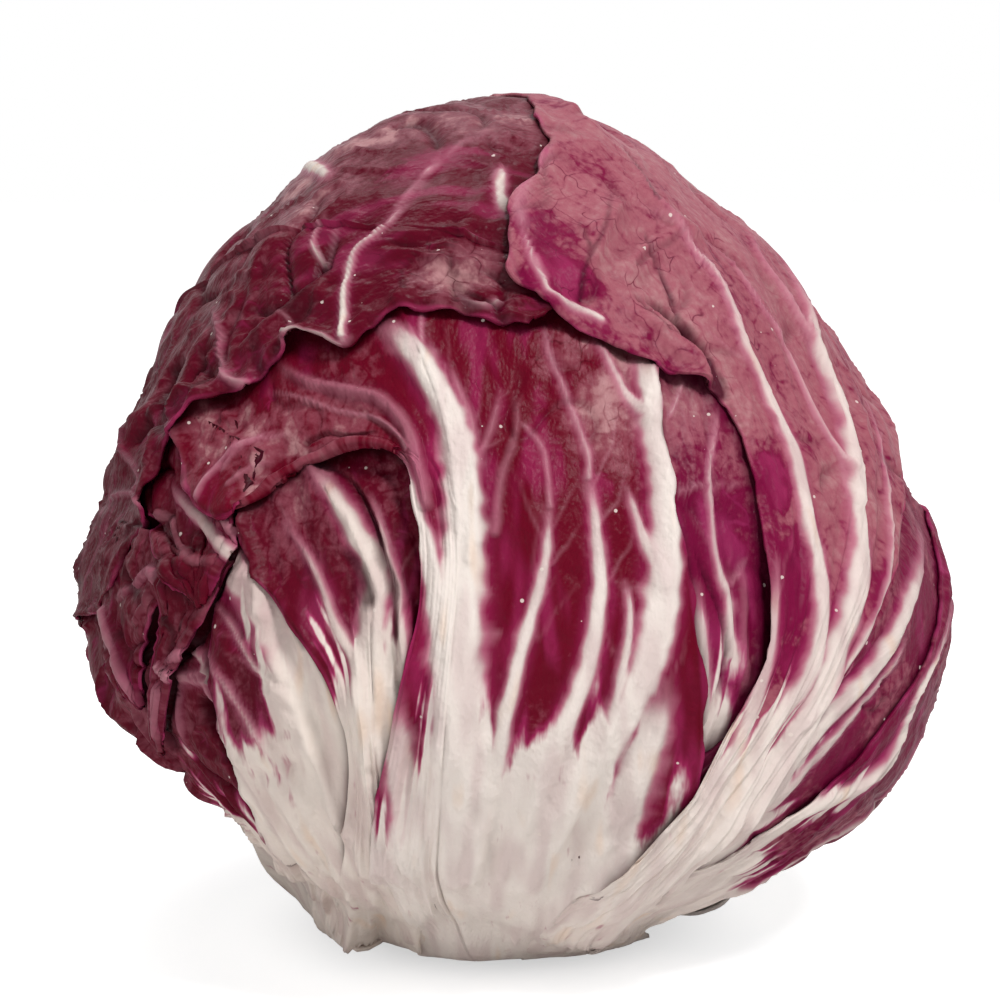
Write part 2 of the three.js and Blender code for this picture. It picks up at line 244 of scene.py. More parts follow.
@dataclass(frozen=True)
class LeafPlan:
    """One leaf, drawn flat in degrees right and up of its middle, from stem to tip.

    Depth is how far it lies inside the head's outside, and strips are its faces across and along.
    It is pale from the stem up to pale_to, which drops by as much as tongue beside its ribs.
    Spots of bloom are dustier than the rest and carry painted sheen, or are deeper where their
    strength is below 0. Worn spots have fine cracks. A leaf that isn't rooted is a folded lobe:
    it starts under its neighbours.
    """

    name: str
    finish: Finish
    middle: Pair
    left: Points
    rib: Points
    right: Points
    depth: float = 12
    strips: tuple[int, int] = (24, 36)
    ripple: float = 0.5
    crumple: float = 0.3
    crumple_size: float = 9
    lift: float = 0.8
    pale_to: float = 0
    tongue: float = 8
    bloom_and_sheen_spots: tuple[Spot, ...] = ()
    worn: tuple[Spot, ...] = ()
    ragged_tip: float = 1.0
    rooted: bool = True
    veins: tuple[Vein, ...] = ()

    def on_plan(self, u: np.ndarray, t: np.ndarray) -> np.ndarray:
        """The flat place of each point.

        Args:
            u: From -1 at the left margin to 1 at the right one.
            t: From 0 at the stem to 1 at the tip.

        Returns:
            Degrees right and up of the leaf's middle.
        """
        rib, left, right = (
            smooth_through(np.array(path, float), t * (len(path) - 1))
            for path in (self.rib, self.left, self.right)
        )
        margin = np.where(u[..., None] < 0, left, right)
        return rib + (margin - rib) * np.abs(u)[..., None]

    def along(self, t: np.ndarray) -> np.ndarray:
        """The distance from the stem, along the midrib, in mm."""
        steps = np.linspace(0, 1, 200)
        path = smooth_through(np.array(self.rib, float), steps * (len(self.rib) - 1))
        length = np.concatenate([[0], np.cumsum(np.hypot(*np.diff(path, axis=0).T))])
        return np.interp(t, steps, length)

    def sight(self, place: np.ndarray) -> np.ndarray:
        """The direction from the centre to each flat place."""
        azimuth, polar = self.middle
        away = np.maximum(np.hypot(place[..., 0], place[..., 1]), 1e-9)
        turn = np.radians(away)
        across, up = direction(azimuth + 90, 90), direction(azimuth, polar + 90)
        flat = place[..., :1] / away[..., None] * across + place[..., 1:] / away[..., None] * up
        return np.cos(turn)[..., None] * direction(azimuth, polar) + np.sin(turn)[..., None] * flat


def line(*numbers: float) -> Points:
    """Pairs numbers into places, each right and up."""
    return tuple(zip(numbers[::2], numbers[1::2]))


def as_points(path: np.ndarray) -> Points:
    """The places of a path, as pairs."""
    return tuple(map(tuple, path))


LEAVES: tuple[LeafPlan, ...] = (
    LeafPlan(
        "heart_leaf_front", Finish.INNER, (-8, 95),
        line(-1, -70, -26, -46, -42, -18, -52, 10, -48, 38, -26, 62),
        line(5, -70, 0, -44, -2, -16, 0, 12, 2, 40, 4, 68),
        line(11, -70, 26, -46, 40, -18, 50, 10, 46, 38, 28, 60),
        pale_to=49, tongue=7,
    ),
    LeafPlan(
        "heart_leaf_right", Finish.INNER, (82, 95),
        line(-11, -71, -34, -46, -46, -18, -52, 10, -46, 38, -26, 62),
        line(-5, -72, -8, -44, -4, -16, 0, 12, 2, 40, 4, 66),
        line(1, -73, 20, -46, 38, -18, 50, 10, 46, 38, 26, 60),
        pale_to=49, tongue=7,
    ),
    LeafPlan(
        "heart_leaf_back", Finish.INNER, (172, 95),
        line(-9, -80, -32, -50, -46, -20, -54, 10, -48, 38, -26, 62),
        line(-3, -80, -2, -50, 0, -18, 0, 12, 2, 40, 4, 66),
        line(4, -81, 28, -50, 42, -20, 52, 10, 46, 38, 26, 60),
        pale_to=51, tongue=7,
    ),
    LeafPlan(
        "heart_leaf_left", Finish.INNER, (-98, 95),
        line(-1, -79, -22, -50, -42, -20, -52, 10, -48, 38, -26, 62),
        line(6, -78, 8, -46, 2, -16, 0, 12, 0, 40, 0, 66),
        line(12, -78, 34, -46, 44, -18, 50, 10, 44, 38, 24, 60),
        pale_to=51, tongue=7,
    ),
    LeafPlan(
        "back_leaf_middle", Finish.WINE, (175, 90),
        line(-16, -75, -40, -55, -52, -22, -56, 10, -50, 36, -26, 60),
        line(-9, -75, -8, -54, -4, -22, 0, 8, 4, 38, 8, 68),
        line(-3, -75, 26, -54, 44, -22, 54, 8, 50, 36, 32, 60),
        depth=8.5, strips=(60, 85), ripple=0.8, crumple=0.7, crumple_size=10, lift=1.4, pale_to=54,
    ),
    LeafPlan(
        "back_leaf_left", Finish.WINE, (-140, 90),
        line(-13, -78, -26, -56, -42, -24, -50, 6, -46, 34, -24, 58),
        line(-6, -77, 0, -54, -2, -22, -2, 8, 0, 36, 6, 64),
        line(0, -76, 28, -54, 42, -24, 50, 6, 46, 32, 30, 54),
        depth=8.5, strips=(60, 85), ripple=0.8, crumple=0.8, crumple_size=10, lift=1.6, pale_to=54,
    ),
    LeafPlan(
        "back_leaf_right", Finish.ROSE, (135, 90),
        line(-25, -72, -43, -52, -51, -22, -54, 8, -48, 34, -24, 58),
        line(-17, -71, -14, -50, -8, -20, -2, 8, 2, 36, 6, 64),
        line(-10, -71, 12, -52, 32, -22, 46, 8, 46, 34, 28, 58),
        depth=3.5, strips=(84, 118), ripple=0.8, crumple=0.6, crumple_size=11, lift=1.6, pale_to=54,
    ),
    LeafPlan(
        "left_leaf_rear", Finish.WINE, (-95, 85),
        line(-7, -71, -20, -52, -36, -26, -44, 2, -42, 28, -20, 54),
        line(-1, -69, 8, -46, 4, -20, 0, 6, -4, 30, -8, 58),
        line(21, -66, 46, -44, 43, -21, 34, 4, 28, 28, 16, 50),
        depth=8, strips=(45, 70), ripple=0.8, crumple=0.8, lift=1.6, pale_to=58,
    ),
    LeafPlan(
        "tucked_leaf", Finish.ROSE, (32, 95),
        line(-14, -71, -19, -45, -14, -22, -10, 0, -8, 18, -6, 34),
        line(-7, -69, -10, -44, -4, -20, -1, -2, 0, 16, 4, 32),
        line(0, -69, 0, -44, 6, -22, 11, -2, 14, 16, 14, 30),
        depth=1.2, strips=(50, 110), crumple=0.5, crumple_size=8, pale_to=63,
        bloom_and_sheen_spots=((-0.8, 25.2, 5, 0.6), (-1.8, 10.3, 6, -0.4), (0.1, 0.6, 6, -0.8),
            (-2.5, 15.4, 5, 0.1)),
        veins=(
            Vein((0.8, 0.3), (0.7, 0.3), (0.95, 0.5), line(-2.1, -5.5, -1.6, -1.5, -1.2, 0.7,
                -1.7, 3.1, -2, 7.9, -0.6, 15.9, 1.5, 20.3, 4.1, 24.9)),
            Vein((1.7, 0.6), (0.7, 0.4), (1, 0.7), line(-5.4, -23.4, -5.5, -15.4, -5.7, -9.3,
                -5.8, -3.5, -5.5, 2.2)),
            Vein((0.3, 0.2), (0.3, 0.2), (0.6, 0.6), line(-3.7, 24.5, -2, 26.3, 0.3, 29.2)),
            Vein((0.4, 0.25), (0.4, 0.3), (0.5, 0.35), line(-1.6, 1.9, 0.7, 3.5, 2.9, 5.3)),
            Vein((0.35, 0.25), (-0.9, -0.6), (-0.9, -0.7), line(-5.6, -16, -3.5, -10.6, -2.6, -6,
                -2.6, -1.4, -3.8, 3.3, -4.7, 6.9)),
            Vein((0.3, 0.25), (0.6, 0.5), (0.45, 0.35), line(-5.3, 14.1, -2.7, 14.9, -0.5, 14.5,
                4.1, 14.6)),
            Vein((0.6, 0.4), (0.5, 0.4), (0.25, 0.2), line(0.4, -9.8, -0.1, -3.9, 1, 0.5,
                1.8, 5.1)),
        ),
    ),
    LeafPlan(
        "left_leaf_low", Finish.WINE, (-60, 90),
        line(-8, -73, 8, -52, 18, -31, 0, -16, -18, -6, -24, 20),
        line(-2, -71, 16, -52, 24, -34, 16, -12, 6, 8, 0, 31),
        line(3, -70, 27, -50, 40, -32, 38, -12, 30, 10, 20, 34),
        depth=1.3, strips=(110, 150), ripple=1, crumple=2.4, crumple_size=13, lift=1.8, pale_to=64,
        tongue=10,
        bloom_and_sheen_spots=((8.1, 8.4, 5, -1), (23.7, 10.3, 6, 0.3), (5.6, -2.4, 6, 0.2), (17.2, -8.3, 6, 0.3),
            (13.1, 1.3, 4, -0.6)),
        veins=(
            Vein((1, 0.5), (1, 0.6), (0.9, 0.5), line(27.1, -41.5, 28.7, -26.2, 27.5, -15,
                25.4, -7.2, 21.4, -2, 15.5, -0.9)),
            Vein((0.7, 0.3), (0.6, 0.3), (0.7, 0.4), line(27.5, -15, 25.4, -12.5, 23.6, -8,
                22.4, -5)),
            Vein((1.3, 0.8), (-3.4, -2.4), (-1, -0.9), line(15.8, 4.4, 13.4, 2, 11.5, -1.5,
                9.6, -5.9, 9.5, -9.5)),
            Vein((1.1, 0.8), (-3.4, -2.4), (-1, -0.9), line(15.1, -1, 13.4, -5, 12.2, -9.1,
                11.2, -13.9, 12, -15.9)),
            Vein((1, 0.7), (-2.8, -2), (-1, -0.8), line(27.1, 10.7, 24.6, 7.2, 22.4, 5.1,
                21.1, -0.1, 17.2, -3.2, 15.6, -4.4)),
            Vein((1.6, 0.9), (-3, -2.2), (-1, -0.9), line(22.5, -9.5, 23.3, -12, 24.8, -14.6,
                25.9, -18.9)),
            Vein((0.9, 0.6), (-2.4, -1.6), (-1, -0.7), line(8.5, 13.8, 12.6, 10.9, 16.4, 8.8,
                19.7, 7.2, 21.7, 5)),
            Vein((1, 0.6), (-2.4, -1.6), (-0.9, -0.6), line(7.5, 14.3, 3.3, 11.1, 1.4, 7.5,
                -2.4, 2.9, -3.3, 0.6)),
            Vein((0.7, 0.5), (-1.8, -1.2), (-0.9, -0.6), line(16.6, -3.9, 15.7, -7.2, 14.7, -10.6,
                12.8, -14.3)),
            Vein((0.6, 0.4), (1, 0.6), (0.4, 0.25), line(-0.5, 0.2, 4.4, -2.6, 6.9, -5.4, 9.2, -8.5,
                10.4, -9.6)),
            Vein((0.5, 0.3), (0.9, 0.6), (0.45, 0.3), line(21.6, 4.7, 18.7, 5.1, 15.6, 5.7,
                11.4, 7.2, 7, 4.5)),
            Vein((0.5, 0.3), (0.9, 0.6), (0.5, 0.3), line(15.6, -4.4, 18, -5.1, 21.8, -4.6,
                23.6, -3.1, 21.5, -1.6, 17.7, -2.9)),
            Vein((0.5, 0.3), (0.9, 0.5), (0.4, 0.25), line(25.4, 10.8, 23.7, 9.6, 22.8, 6.4,
                21.1, 4.6)),
            Vein((0.4, 0.3), (0.7, 0.4), (0.35, 0.2), line(14.9, 13.9, 11.7, 14.2, 9.1, 14.5,
                16.4, 9.4)),
            Vein((0.5, 0.3), (0.8, 0.5), (0.5, 0.3), line(24.1, -5.3, 21.3, -5.7, 17.9, -6.4,
                16.6, -11, 16.7, -15.1)),
        ),
    ),
    LeafPlan(
        "left_leaf_middle", Finish.WINE, (-40, 90),
        line(-6, -70, 3, -50, 5.7, -32, 6, -16, 4, -2, 4, 6, 7, 11, 6, 16),
        line(0, -68, 14, -50, 22, -34, 25, -20, 23, -6, 18, 4, 13, 12, 10, 22),
        line(6, -67, 24, -44, 32, -32, 36, -20, 35, -6, 30, 6, 24, 15, 16, 26),
        depth=2.2, strips=(90, 150), ripple=0.6, crumple=0.5, crumple_size=10, lift=1.4, pale_to=77,
        tongue=14,
        bloom_and_sheen_spots=((16.8, 11.2, 6, 0.35), (20.1, 7.8, 5, 0.2), (22.9, 5.6, 4, -0.6),
            (10.9, 3.4, 4, -0.5)),
        veins=(
            Vein((5.2, 0.9), (1.4, 0.8), (1, 0.55), line(24.7, -26.9, 23.1, -10.3, 20.8, -5.4,
                18.3, -1.3, 15.8, 2.1, 12.7, 5.2, 9.5, 7.5, 5.9, 9.5, 2.7, 12.6, -0.4, 14.5,
                -4.5, 16.4)),
            Vein((0.6, 0.35), (0.5, 0.3), (0.8, 0.5), line(20.2, -23.7, 17.7, -8.1, 14.3, -4,
                11.3, -1.5, 8, 1.8, 4.2, 4.6)),
            Vein((0.45, 0.3), (-1, -0.8), (-0.9, -0.7), line(5.9, 16.6, 5.9, 14.3, 7.6, 11.9,
                10.6, 9.9, 13.4, 8.2)),
            Vein((0.5, 0.35), (0.6, 0.4), (0.6, 0.45), line(18.1, 0.5, 15.6, 5, 11.9, 8.3, 9.4, 11,
                8.9, 14.3, 9.9, 16.3)),
            Vein((0.6, 0.35), (0.5, 0.3), (0.7, 0.4), line(16.3, -20.8, 12, -11.3, 8.7, -6.5,
                5.7, -3.2, 3.2, -1.1)),
            Vein((0.7, 0.4), (0.5, 0.3), (0.9, 0.4), line(25.2, -17.2, 24.1, -10.3, 21.9, -4.1,
                18.7, 1.7, 16.3, 6.3)),
        ),
    ),
    LeafPlan(
        "left_leaf_upper", Finish.WINE, (-20, 90),
        line(-6, -68, -6, -46, 2, -22, 2, -4, -10, 10, -18, 24),
        line(0, -66, 8, -44, 7, -20, 7, -2, 5, 11, -6, 27),
        line(6, -66, 12, -44, 16, -20, 18, 0, 16, 16, 8, 34),
        depth=4, strips=(90, 150), crumple=0.4, lift=1.2, pale_to=70, tongue=14,
        bloom_and_sheen_spots=((-1.5, 18.6, 6, 0.4), (2, 13.7, 4, 0.3), (7.8, 6.8, 5, -0.8), (8.7, -0, 5, -0.8),
            (1.9, 22.6, 4, -0.3)),
        veins=(
            Vein((2.5, 0.75), (1.3, 0.8), (1, 0.9), line(6.9, -31.9, 7.1, -16.6, 6.2, -7.4,
                6.3, -4.3, 6.3, 0.7, 6.7, 4.4, 6.9, 8.1, 6, 11.5, 4, 14.4, 1.6, 17.5, -1.5, 20.9,
                -4.9, 24)),
            Vein((1, 0.35), (0.6, 0.3), (0.95, 0.5), line(6.5, -12.5, 6.2, -7.4, 5, -0.8, 3.1, 1.8,
                1.4, 4.5, 0.2, 7.2, -1.5, 10.1, -3.7, 12.8, -6.6, 15.3)),
            Vein((0.8, 0.4), (0.6, 0.3), (0.9, 0.4), line(9.6, -20.8, 9.7, -9.7, 9.5, -3.5,
                10.2, 2.3, 9.3, 6.9)),
            Vein((0.9, 0.4), (0.7, 0.4), (0.9, 0.5), line(9.9, -15, 10.7, -4.7, 10.5, 2.3, 9.2, 8.1,
                7.3, 12.7, 5.9, 16.3, 4, 20)),
            Vein((0.5, 0.3), (-1.2, -0.9), (-1, -0.7), line(10.2, -3.5, 9.8, 2.3, 8.9, 8.1,
                6.8, 12.5, 5.1, 16.3, 1.5, 21.2, -2.5, 24)),
            Vein((1, 0.6), (-0.8, -0.5), (-0.8, -0.4), line(6.1, 6.8, 5.2, 9.1, 3.6, 11.4,
                2, 12.3)),
        ),
    ),
    LeafPlan(
        "left_lobe_low", Finish.WINE, (-60, 90),
        line(-2.7, 12.4, -5.5, 5.8, -3.5, 0, 0.4, -4.6, 4.9, -8.3, 8.7, -10.4),
        line(8.7, 12.4, 7.3, 7.6, 7.9, 1.8, 7.9, -2.7, 8.9, -7, 10, -10.5),
        line(20.3, 9.9, 18.3, 6.4, 14.8, 4.1, 12.3, -0.1, 10.6, -4.8, 10.6, -9.8),
        depth=0.7, strips=(50, 60), crumple=1.2, crumple_size=7, lift=1.6, pale_to=0, tongue=0,
        rooted=False,
        veins=(
            Vein((0.5, 0.35), (1, 0.6), (0.5, 0.35), line(-1.2, 0.1, 3.1, -2.8, 6.3, -5.5,
                8.7, -8.3, 9.9, -9.7)),
            Vein((0.5, 0.35), (1, 0.7), (0.45, 0.3), line(21.1, 4.9, 18.1, 5.5, 14.4, 6.6,
                11.2, 7.3, 7.5, 4.6, 2, 2.2)),
            Vein((1.2, 0.8), (-0.8, -0.5), (-0.6, -0.4), line(4.9, -1.5, 4.2, -1.1)),
            Vein((0.9, 0.6), (-1.4, -1), (-0.8, -0.5), line(2.2, 7.6, 7.6, 4.4, 11.7, 3.1)),
        ),
    ),
    LeafPlan(
        "left_lobe_inner", Finish.WINE, (-60, 90),
        line(15.2, 9.3, 15, 2.8, 13.9, -2.4, 12.9, -7.7, 11.5, -13.2, 11.2, -16.3),
        line(20.1, 9.9, 19.6, 2.8, 17.2, -1.9, 15.3, -7.3, 13.3, -12.2, 11.3, -16.9),
        line(26.2, 10.6, 23.6, 3.9, 20.7, -0.8, 17.9, -5.6, 15.5, -10.5, 13, -15.7),
        depth=0.5, strips=(40, 60), crumple=1, crumple_size=6, lift=1.4, pale_to=0, tongue=0,
        rooted=False,
        veins=(
            Vein((0.5, 0.35), (0.9, 0.6), (0.5, 0.35), line(15.6, -4.4, 17.2, -5, 20.6, -4.7,
                23.2, -3.4, 22.2, -1.7, 18.9, -2.4, 16, -4.1)),
            Vein((0.7, 0.5), (-1.2, -0.8), (-0.8, -0.5), line(16.5, 1.8, 18, -0.6, 16.5, -3.3)),
            Vein((0.5, 0.3), (0.8, 0.5), (0.4, 0.3), line(15.3, -7.3, 14, -10.7, 12.8, -14.3)),
        ),
    ),
    LeafPlan(
        "left_lobe_high", Finish.WINE, (-60, 90),
        line(1.2, 25.7, 3.2, 18.7, 7.5, 13.9, 12.8, 9.5, 18, 6.3, 21.8, 4.7),
        line(12.8, 28.3, 15.8, 21.5, 18.8, 15.7, 20.7, 11.9, 22.2, 8.2, 23.1, 4.5),
        line(25.7, 25.5, 26.2, 20, 25.8, 15.8, 27.1, 12.3, 25.5, 9.5, 23.8, 4.8),
        depth=0.2, strips=(60, 80), ripple=0.6, crumple=1.3, crumple_size=8, lift=1.5, pale_to=0,
        tongue=0, rooted=False,
        veins=(
            Vein((0.8, 0.4), (0.7, 0.4), (0.75, 0.5), line(27.3, 11.1, 24.7, 12.4, 21.8, 14,
                18.8, 15.6, 15.8, 16.7, 12, 18.6)),
            Vein((0.5, 0.3), (0.6, 0.4), (0.55, 0.3), line(19.8, 17.8, 22.7, 16.5, 25.6, 14.5,
                27.2, 12.7)),
            Vein((0.4, 0.3), (0.6, 0.4), (0.5, 0.3), line(19.8, 18.9, 19.4, 21.2, 20.2, 24.1,
                21.3, 26.4)),
            Vein((0.9, 0.6), (-1.2, -0.8), (-0.7, -0.5), line(8.5, 13.8, 13.7, 12.4, 17.2, 9.5,
                20.4, 6.1)),
            Vein((0.4, 0.3), (0.5, 0.3), (0.25, 0.2), line(9.6, 14.6, 13.9, 14.4, 16.5, 11.4,
                20.3, 9.9, 24.9, 10.2)),
            Vein((0.9, 0.6), (-0.9, -0.6), (-0.6, -0.4), line(19.9, 10.9, 21.2, 12.6, 18.6, 14.2)),
        ),
    ),
    LeafPlan(
        "right_leaf_upper", Finish.ROSE, (80, 90),
        line(-33, -74, -60, -50, -56, -25, -44, -6, -26, 10, 0, 34),
        line(-29, -71, -50, -48, -48, -27, -36, -11, -20, -1, 6, 12),
        line(-24, -68, -36, -52, -30, -34, -16, -20, 4, -8, 30, 0),
        depth=1.4, strips=(80, 150), ripple=0.6, crumple=0.5, lift=0.6, pale_to=67, tongue=10,
        bloom_and_sheen_spots=((-22.4, 2.7, 6, 0.4), (-30.9, -5.8, 8, -0.5), (-36.9, -12.2, 7, -0.5),
            (-20.5, -9.6, 5, 0.4)),
        veins=(
            Vein((2, 0.8), (1.2, 0.7), (1, 0.9), line(-53.6, -40.5, -47.6, -26.3, -40.9, -22.4,
                -38.1, -15.8, -32.5, -9.2, -26.3, -4.8, -20.3, 0.6, -15.5, 3.5, -5.4, 7.9)),
            Vein((0.5, 0.3), (0.4, 0.2), (0.5, 0.3), line(-38.2, -14.8, -34.7, -7.8, -30.9, -3.3,
                -27, 2.2, -22.8, 6.4)),
            Vein((1.2, 0.4), (0.5, 0.3), (0.95, 0.5), line(-37.5, -22.3, -34.6, -17.4, -29.4, -11.1,
                -22.1, -5.2, -19.6, -2.5)),
        ),
    ),
    LeafPlan(
        "right_leaf_low", Finish.ROSE, (105, 85),
        line(-32, -70, -60, -50, -56, -28, -46, -10, -28, 6, 0, 24),
        line(-28, -67, -50, -50, -49, -30, -40, -12, -24, 0, 4, 10),
        line(-23, -65, -36, -54, -34, -38, -24, -26, -6, -18, 20, -12),
        depth=1, strips=(80, 150), ripple=0.6, crumple=0.6, lift=0, pale_to=58, tongue=14,
        bloom_and_sheen_spots=((-40.2, 0.7, 5, 0.5), (-45.8, -14.9, 7, -0.8), (-40.5, -7, 6, -0.3)),
        veins=(
            Vein((1.8, 0.8), (1, 0.6), (1, 0.9), line(-56.9, -51.2, -58.2, -29.5, -53, -22.9,
                -45.8, -18.7, -41.3, -13.8, -39.8, -7.1, -34.7, -2.5, -22.6, 2.9)),
            Vein((0.4, 0.3), (0.4, 0.3), (0.4, 0.3), line(-57.7, -21.3, -52.7, -14.7, -49.3, -9.7,
                -45.6, -5.2)),
            Vein((0.8, 0.4), (0.5, 0.3), (0.9, 0.6), line(-45.4, -44.8, -35.5, -31.6, -27.3, -22.5,
                -25.3, -11.4)),
        ),
    ),
    LeafPlan(
        "front_leaf", Finish.CRIMSON, (0, 95),
        line(-5, -70, -15, -48, -13, -24, -7.5, 2, -9, 16, -12, 21.5, -18, 22.5, -22.3, 20.5,
            -28, 17, -33, 12, -40, 15, -48, 30),
        line(1, -70, -6, -45, -5, -22, -3, 2, -3, 11, -3.5, 16, -4, 20, -5, 25, -6.5, 30, -9, 36,
            -13, 43, -18, 50),
        line(13, -72, 26, -50, 27, -26, 25.5, 0, 25, 8, 24, 14, 23.5, 20, 23.2, 27, 23, 33, 22, 40,
            17, 48, 10, 54),
        depth=1.2, strips=(160, 270), ripple=0.6, crumple=0.4, crumple_size=10, lift=1.5,
        pale_to=60, tongue=11, ragged_tip=0.1,
        bloom_and_sheen_spots=((15.2, 27.2, 6, 1), (9.4, 34.4, 6, 0.8), (18.7, 31.4, 5, 1.2),
            (16.1, 21.2, 5, 0.7), (7, 15.9, 7, -0.9), (9.2, 6.7, 7, -0.8), (15.5, 11.5, 6, -0.8),
            (5.4, 24.4, 5, -0.6), (1.6, 33.6, 5, -0.7), (-1.7, 34.9, 4, -0.5),
            (-24.6, 26.7, 9, 0.6), (-35.8, 23.3, 7, 0.8), (-18.7, 25.6, 7, 0.7),
            (-40.3, 26.8, 6, 0.6), (-13.3, 27.3, 4, -0.4), (-10.3, 17.9, 4, -0.5)),
        worn=((10, 33.7, 8, 0.5), (18, 31.4, 6, 0.4), (-24.5, 25.2, 6, 0.2)),
        veins=(
            Vein((3.3, 1.2), (1.7, 0.9), (1, 1), line(-4.1, -36.1, -3.2, -17, -2.8, -7.1, -2.8, 0.2,
                -2.6, 5.2, -2.3, 10.4, -2.5, 15.8, -3.1, 21.3, -4.3, 25.7, -6.3, 29.5, -8.6, 33.2,
                -11.3, 36.3, -13.1, 37.8)),
            Vein((1.8, 0.7), (0.8, 0.5), (1, 0.9), line(-4.1, -17, -4.4, -7.2, -5.2, 1.5, -5.9, 4.9,
                -7.1, 9.1, -8.6, 13, -9.6, 16.6, -10.1, 19.9)),
            Vein((1.1, 0.45), (0.7, 0.4), (1, 0.75), line(-1.7, -36, 1.5, -19.7, 2.6, -11.9,
                4.3, -4.8, 5.7, 0, 6.8, 3.4, 7.6, 6.7, 8, 10.2, 8.3, 13.4)),
            Vein((0.4, 0.3), (0.35, 0.2), (0.45, 0.35), line(8.3, 13.4, 8.2, 17.2, 7.8, 20.8,
                6.2, 23.4, 4.6, 24.8)),
            Vein((1.3, 0.55), (0.7, 0.5), (1, 0.85), line(2.2, -36.1, 9.1, -14.5, 12.4, -6.1,
                13.5, -0.1, 14.2, 3.8, 14.1, 7.5, 13.9, 12.8, 13.4, 17.2)),
            Vein((0.5, 0.3), (0.4, 0.25), (0.55, 0.4), line(13.4, 17.2, 13.6, 20.1, 12.9, 22.9,
                11.6, 26.6, 10.2, 30.4, 8.6, 34.6, 8.2, 38)),
            Vein((2.2, 1.2), (1, 0.7), (1, 0.95), line(5, -38.3, 12.9, -20, 18.3, -8.6, 20.9, -0.3,
                21.7, 3.7, 22.4, 7.6, 22.7, 12.7, 22.7, 17.3, 22.4, 21.3, 22.2, 24.9, 21.9, 29.1,
                21.3, 33, 20.7, 36.4)),
            Vein((0.9, 0.4), (0.5, 0.3), (0.8, 0.55), line(22.2, 24.9, 20.5, 26.7, 19.1, 28.7,
                17.7, 31.1, 16.4, 33.5, 14.2, 36.9)),
            Vein((1, 0.4), (0.5, 0.3), (0.9, 0.6), line(21.7, 3.7, 20.8, 7.2, 19.8, 10, 19.1, 12.8,
                18.2, 15.6)),
            Vein((0.8, 0.35), (0.5, 0.3), (1, 0.7), line(9.8, -30.5, 13.9, -17.3, 16.2, -7.4,
                17.5, -0.2, 17.3, 3.8)),
            Vein((0.6, 0.4), (0.4, 0.3), (0.5, 0.35), line(-1.5, 6.7, -1, 14, -1.2, 22.8, -1.9, 26,
                -3.4, 29.4, -4.4, 32.3)),
            Vein((0.6, 0.4), (0.5, 0.3), (0.4, 0.25), line(-0.3, 9.1, -0.6, 18.6, 0.2, 21.3,
                1.3, 24.5, 2.3, 28.8)),
            Vein((0.6, 0.4), (0.5, 0.3), (0.3, 0.15), line(1.5, 10.3, 2.3, 17.2, 3.7, 21.1,
                4.5, 24.5, 4.1, 28.6)),
            Vein((0.9, 0.6), (1, 0.8), (0.35, 0.2), line(-7.1, 14, -9.1, 22, -10.9, 25.3,
                -14.2, 28.3, -19, 29.8, -25, 31.6, -29.1, 34.3)),
            Vein((0.45, 0.3), (0.6, 0.4), (0.5, 0.4), line(-38.1, 14.8, -37.2, 17.8, -34.7, 21.3,
                -29.7, 24.3)),
            Vein((1.4, 0.9), (0.9, 0.6), (0.2, 0.1), line(-42.2, 16.3, -44.2, 21, -46.1, 26.8)),
            Vein((0.4, 0.3), (0.4, 0.3), (0.3, 0.2), line(-33.6, 16.5, -31.5, 18.6, -29.1, 19.9)),
            Vein((0.35, 0.25), (0.3, 0.2), (0.6, 0.4), line(-7.8, 33.7, -8.2, 37.1, -8.2, 39.8)),
            Vein((2.4, 1.6), (0, 0), (0.9, 0.6), line(-9.5, -36.7, -9.3, -25.8, -9.8, -17.2,
                -10.5, -9.7)),
            Vein((3.6, 1.6), (0, 0), (1, 0.9), line(13.6, -36.6, 16.4, -29.2, 18.5, -21.6,
                19.9, -15.6, 21, -8.8)),
            Vein((0.3, 0.2), (0.4, 0.3), (0.5, 0.3), line(-9.8, 21, -11.2, 23.2, -14.6, 25.7,
                -20.2, 27.1, -26.4, 29.4, -31.1, 30.5)),
            Vein((0.25, 0.2), (0.3, 0.2), (0.4, 0.3), line(-35.4, 18.8, -33.7, 21.6, -30.9, 23.2,
                -26.8, 24)),
            Vein((0.35, 0.25), (-0.7, -0.5), (-0.7, -0.5), line(-24.2, 22.4, -21.4, 23.7,
                -17.9, 23.2, -14.2, 23.6)),
        ),
    ),
    LeafPlan(
        "crown_leaf", Finish.DUSK, (-100, 140),
        line(-48, -127, -54.4, -110.7, -64.1, -91, -76.2, -71.4, -80.4, -47.4, -77.1, -23.4,
            -64.7, -5.6, -52.4, 8.9, -41.4, 20.6, -29.6, 31, -16.5, 40.3, -1.6, 49.2, 14.3, 55.9,
            28, 60),
        line(-38, -126, -39.3, -110.3, -40.5, -90.7, -41.1, -70.5, -32.1, -54, -18.4, -40.4,
            -5.4, -29.3, 3.7, -18.5, 9.1, -7.4, 17.6, 3.8, 25.8, 14.5, 31.8, 23.7, 38.3, 38.5,
            44, 54),
        line(-27, -126, -22, -98, -8, -72, 20, -54, 40.5, -42.5, 45, -30, 46.6, -20, 44, -8,
            47.3, 3, 46, 12.5, 50.7, 18.5, 48.5, 26.6, 50.3, 36, 53, 46),
        depth=0.5, strips=(180, 235), ripple=0.8, crumple=1.1, crumple_size=11, lift=1.9,
        pale_to=30, ragged_tip=0.2,
        bloom_and_sheen_spots=((26.2, 36.4, 6, -0.9), (42.1, 25.6, 5, -1), (31.7, 30.9, 6, -0.9),
            (27.5, 41.2, 6, -0.9), (53.9, 17, 4, -0.5), (36.6, 37.3, 5, -0.2), (42.8, 39.2, 4, 0.9),
            (46.9, 34.7, 4, 0.7), (43.5, 33.1, 3, 0.5), (44.4, 29.9, 3, 0.4), (23.7, 13.1, 8, 0.7),
            (22.1, 22.3, 6, 0.5), (28.5, -1, 8, 0.2), (23.4, -25.6, 6, 0.5), (15, 35.2, 7, 0.8),
